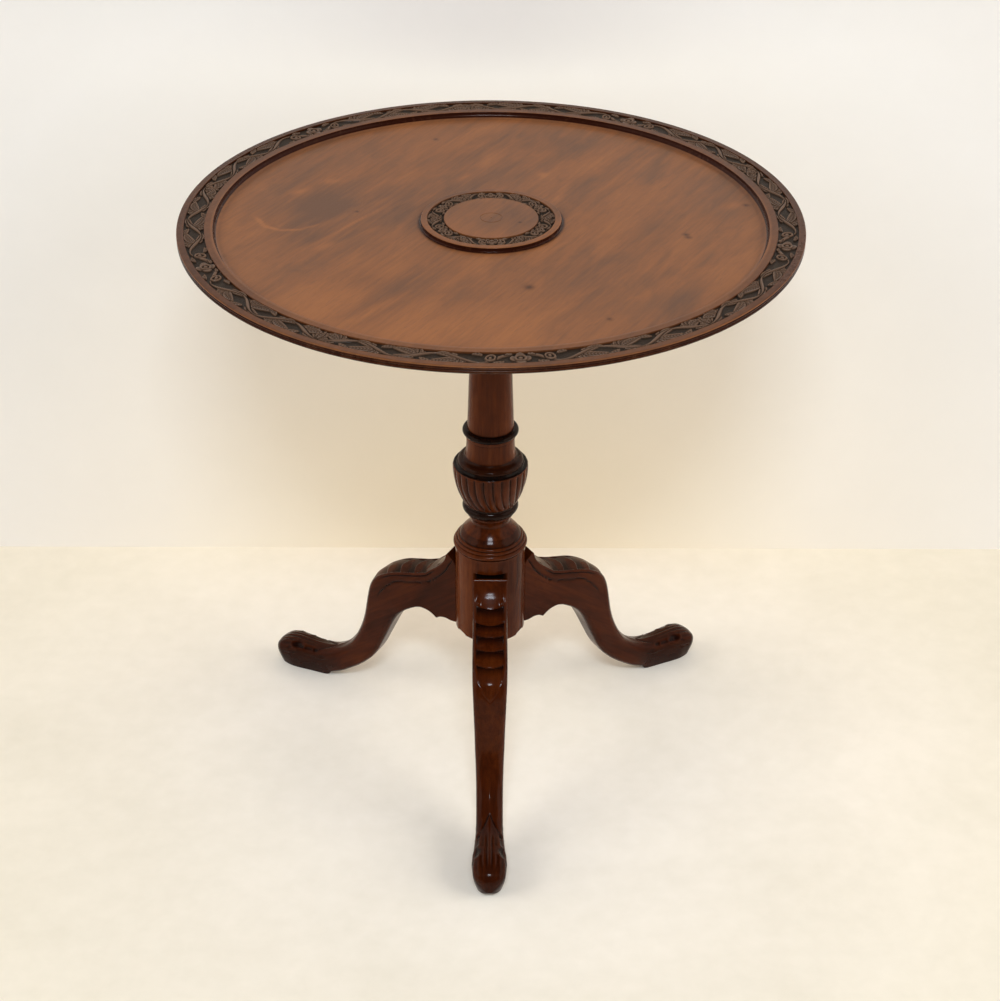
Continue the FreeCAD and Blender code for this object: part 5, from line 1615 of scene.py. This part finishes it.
    def build(self) -> Piece:
        """Build the leg, turn it to its place and dress it.

        Returns:
            The leg.
        """
        stations = self.rulings()
        along_row = running(np.hypot(*np.diff(stations[:, 0:2], axis=0).T))
        rows, depths, laterals = [], [], []
        for row in stations:
            b, a, depth = self.outline_of(row)
            share = a / math.hypot(row[0] - row[2], row[1] - row[3])
            rows.append(np.stack([row[2] + (row[0] - row[2]) * share, b,
                                  row[3] + (row[1] - row[3]) * share], axis=-1))
            depths.append(depth)
            laterals.append(b)
        grid = np.array(rows)
        depth, lateral = np.array(depths), np.array(laterals)
        along = np.repeat(along_row[:, None], grid.shape[1], axis=1)
        half = np.repeat(self.half * stations[:, 4:5], grid.shape[1], axis=1)
        lift = self.knee(along, depth, lateral)
        lift = lift + self.foot(along, depth, lateral, grid[..., 0], half)
        around = np.roll(grid, -1, axis=1) - np.roll(grid, 1, axis=1)
        normal = np.cross(around, np.gradient(grid, axis=0))
        normal /= np.linalg.norm(normal, axis=-1)[..., None] + TINY
        centre = grid.mean(axis=1, keepdims=True)
        facing = np.sign(np.sum(normal * (grid - centre), axis=-1).mean())
        grid = grid + normal * facing * lift[..., None]
        grid[..., 2] = np.maximum(grid[..., 2], 0.0)
        on_knee = (along < self.knee_end) & (depth < 2.0)
        start, full = self.knee_soil
        polish_and_shade = np.where(on_knee, clamped((-lift - start) / full), clamped(-lift))
        on_foot = smoothstep(self.foot_start, self.foot_start + 35.0, along)
        above, below = self.foot_soil
        polish_and_shade = np.maximum(polish_and_shade, on_foot * (above + below * smoothstep(4.0, 10.0, depth)))
        leg = skin(self.node + "_carved", grid, polish_and_shade, clamped(lift / self.rub_height))
        leg.matrix_world = Matrix.Rotation(math.radians(self.angle), 4, "Z")
        dress(leg, Finish.LEG)
        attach(leg, "stand")
        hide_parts(self.node)
        return leg


# Hidden joinery and fittings

class Joinery:
    """The pieces that keep their CAD shape and get their finish here."""

    finishes: dict[Finish, tuple[str, ...]] = {
        Finish.PLAIN: ("top_block", "bearer_left", "bearer_right", "pivot_pin_left",
                       "pivot_pin_right"),
        Finish.WEDGE: ("tenon_wedge",),
        Finish.IRON: ("brace_plate",),
        Finish.STEEL: ("brace_screws", "bearer_screws", "catch_spring"),
        Finish.BRASS: ("catch_case", "catch_screws", "catch_bolt", "catch_knob", "keeper_plate",
                       "keeper_screws"),
    }

    def build(self) -> None:
        """Dress every such node."""
        for finish, nodes in self.finishes.items():
            for node in nodes:
                dress_node(node, finish)


# Room

COOL = (0.86, 1.0, 1.14)
WARM = (1.0, 0.95, 0.86)
WHITE = (1.0, 1.0, 1.0)


@dataclass(frozen=True)
class Lamp:
    """One soft light, a flat face that points at the table."""

    name: str
    place: Spot
    target: Spot
    size: Pair
    power: float
    colour: Colour
    mirrored: bool = True  # polished wood shows a bare lamp, but not a bounced light

    def hang(self) -> None:
        """Hang the lamp and turn it to its target."""
        lamp = bpy.data.lights.new(self.name, "AREA")
        lamp.shape = "RECTANGLE"
        lamp.size, lamp.size_y = self.size
        lamp.energy = self.power
        lamp.color = self.colour
        thing = placed(self.name, lamp)
        thing.location = self.place
        thing.visible_glossy = self.mirrored
        aim = Vector(self.target) - Vector(self.place)
        thing.rotation_euler = aim.to_track_quat("-Z", "Y").to_euler()


@dataclass(frozen=True)
class Plaster:
    """A matt, faintly mottled surface that is clear from behind, with painted light and shade by
    its distance from the middle.

    So the table can be seen and lit from behind the wall and from under the floor too.
    """

    name: str
    low: Colour
    high: Colour
    mottles_per_metre: float
    painted_light_by_distance: tuple[tuple[float, Colour], ...]  # painted light and shade: distance as a share of the reach, colour's share
    reach: float = 1.6
    roughness: float = 0.8
    gloss: float = 0.1

    def material(self) -> Material:
        """Build the surface."""
        pen = NodePen(self.name)
        place = pen.add("ShaderNodeTexCoord").outputs["Object"]
        broad = pen.noise(place, self.mottles_per_metre, 5.0, 0.6, 0.4)
        fine = pen.noise(place, self.mottles_per_metre * 12.0, 4.0, 0.6)
        mottled = pen.total((broad, 0.7), (fine, 0.3))
        colour = pen.ramp(mottled, ((0.35, self.low), (0.65, self.high)))
        # painted light and shade: the colour is multiplied by a ramp over the distance from the
        # middle
        length = pen.add("ShaderNodeVectorMath", {"operation": "LENGTH"}, i0=place)
        share = pen.math("DIVIDE", length.outputs["Value"], self.reach)
        colour = pen.mix(1.0, colour, pen.ramp(share, self.painted_light_by_distance), "MULTIPLY")
        gloss = {"Specular IOR Level": self.gloss}
        return pen.finish(colour, self.roughness, gloss, one_sided=True)


@dataclass
class Studio:
    """The pale floor and wall, the soft lights and the camera."""

    lens: float = 72.044
    sensor: float = 36.0
    sight: Pair = (0.05, 30.0)
    camera_place: Spot = (0.0, -2.00061, 1.62260)
    pitch_down: float = 0.5700
    roll: float = 0.0028
    shift: float = 0.009617
    wall_line: float = 0.404
    wall_height: float = 7.0
    room_size: float = 12.0
    air: float = 0.12
    # the floor is painted lighter near the table against its shadow, and darker far off as painted
    # falloff of the light
    floor: Plaster = Plaster(
        "studio_floor", (0.90, 0.845, 0.75), (0.995, 0.935, 0.85), 3.0,
        ((0.17, WHITE), (0.3, (0.975, 0.96, 0.925)), (0.42, (0.95, 0.93, 0.87)),
         (1.0, (0.745, 0.725, 0.65))))
    # the wall is painted warm near the table's foot as the colour of its shade, and darker far off
    # as painted falloff of the light
    wall: Plaster = Plaster(
        "studio_wall", (0.93, 0.90, 0.88), (0.955, 0.925, 0.91), 1.4,
        ((0.27, (1.0, 0.93, 0.77)), (0.39, (1.0, 0.968, 0.9)), (0.6, WHITE),
         (1.0, (0.79, 0.775, 0.79))))
    key: Lamp = Lamp("key", (0.0, -2.65, 3.05), (0.0, 0.0, 0.5), (0.95, 0.38), 50.0, COOL)
    window_place: Spot = (4.2, -1.0, 2.1)
    window_target: Spot = (0.0, 0.0, 0.4)
    window_size: Pair = (4.0, 3.4)
    window_power: float = 43.0
    bounce_power: float = 143.0
    sides: tuple[tuple[str, float, float], ...] = (("left", -1.0, 0.98), ("right", 1.0, 1.04))

    def sheet(self, name: str, corners: Sequence[Spot], material: Material) -> None:
        """Lay one flat face of the room.

        Args:
            name: Its name.
            corners: Its corners in metres, counter-clockwise as seen from the table.
            material: Its material.
        """
        mesh = bpy.data.meshes.new(name)
        mesh.from_pydata([Vector(corner) for corner in corners], [], [tuple(range(len(corners)))])
        mesh.materials.append(material)
        thing = placed(name, mesh)

    def build(self) -> None:
        """Set up the room."""
        far, wall, high = self.room_size, self.wall_line, self.wall_height
        ground = [(-far, -far, 0.0), (far, -far, 0.0), (far, far, 0.0), (-far, far, 0.0)]
        upright = [(-far, wall, 0.0), (far, wall, 0.0), (far, wall, high), (-far, wall, high)]
        self.sheet(self.floor.name, ground, self.floor.material())
        self.sheet(self.wall.name, upright, self.wall.material())
        self.key.hang()
        across, forward, up = self.window_place
        kinds = (("window", self.window_power, True), ("bounce", self.bounce_power, False))
        for side, sign, share in self.sides:
            for kind, power, mirrored in kinds:
                Lamp(f"{side}_{kind}", (sign * across, forward, up), self.window_target,
                     self.window_size, power * share, WARM, mirrored).hang()
        world = bpy.data.worlds.new("studio_air")
        bpy.context.scene.world = world
        world.use_nodes = True
        back = world.node_tree.nodes["Background"]
        back.inputs["Color"].default_value = (*WHITE, 1.0)
        back.inputs["Strength"].default_value = self.air
        self.camera()
        bpy.context.scene.view_settings.view_transform = "Standard"

    def camera(self) -> None:
        """Stand the camera where the photograph was taken from."""
        data = bpy.data.cameras.new("camera")
        data.sensor_fit = "HORIZONTAL"
        data.sensor_width = self.sensor
        data.lens = self.lens
        data.shift_x = self.shift
        data.clip_start, data.clip_end = self.sight
        thing = placed("camera", data)
        tilt = Matrix.Rotation(math.pi / 2 - self.pitch_down, 4, "X")
        roll = Matrix.Rotation(self.roll, 4, "Z")
        thing.matrix_world = Matrix.Translation(self.camera_place) @ tilt @ roll
        bpy.context.scene.camera = thing


def main() -> None:
    """Build the table and its room."""
    logging.basicConfig(level=logging.INFO, format="%(message)s")
    makers = [
        TopBoard(),
        VineBorder(),
        VineBorder(name="roundel_carving", inner_radius=ROUNDEL_BAND[0],
                   outer_radius=ROUNDEL_BAND[1], fillet_level=ROUNDEL_LEVEL, sections=6,
                   first_rosette=-29.3, columns=1320, lines=44, waves=1, first_crest=13.0,
                   rosette_share=0.6, scale=0.62, seed=11),
        Pillar(),
        Leg("leg_front", -90.0),
        Leg("leg_right", 32.0),
        Leg("leg_left", 152.0),
    ]
    for maker in makers:
        piece = maker.build()
        LOG.info("%s: %d faces", piece.name, len(piece.data.polygons))
    Joinery().build()
    Studio().build()


if __name__ == "__main__":
    main()
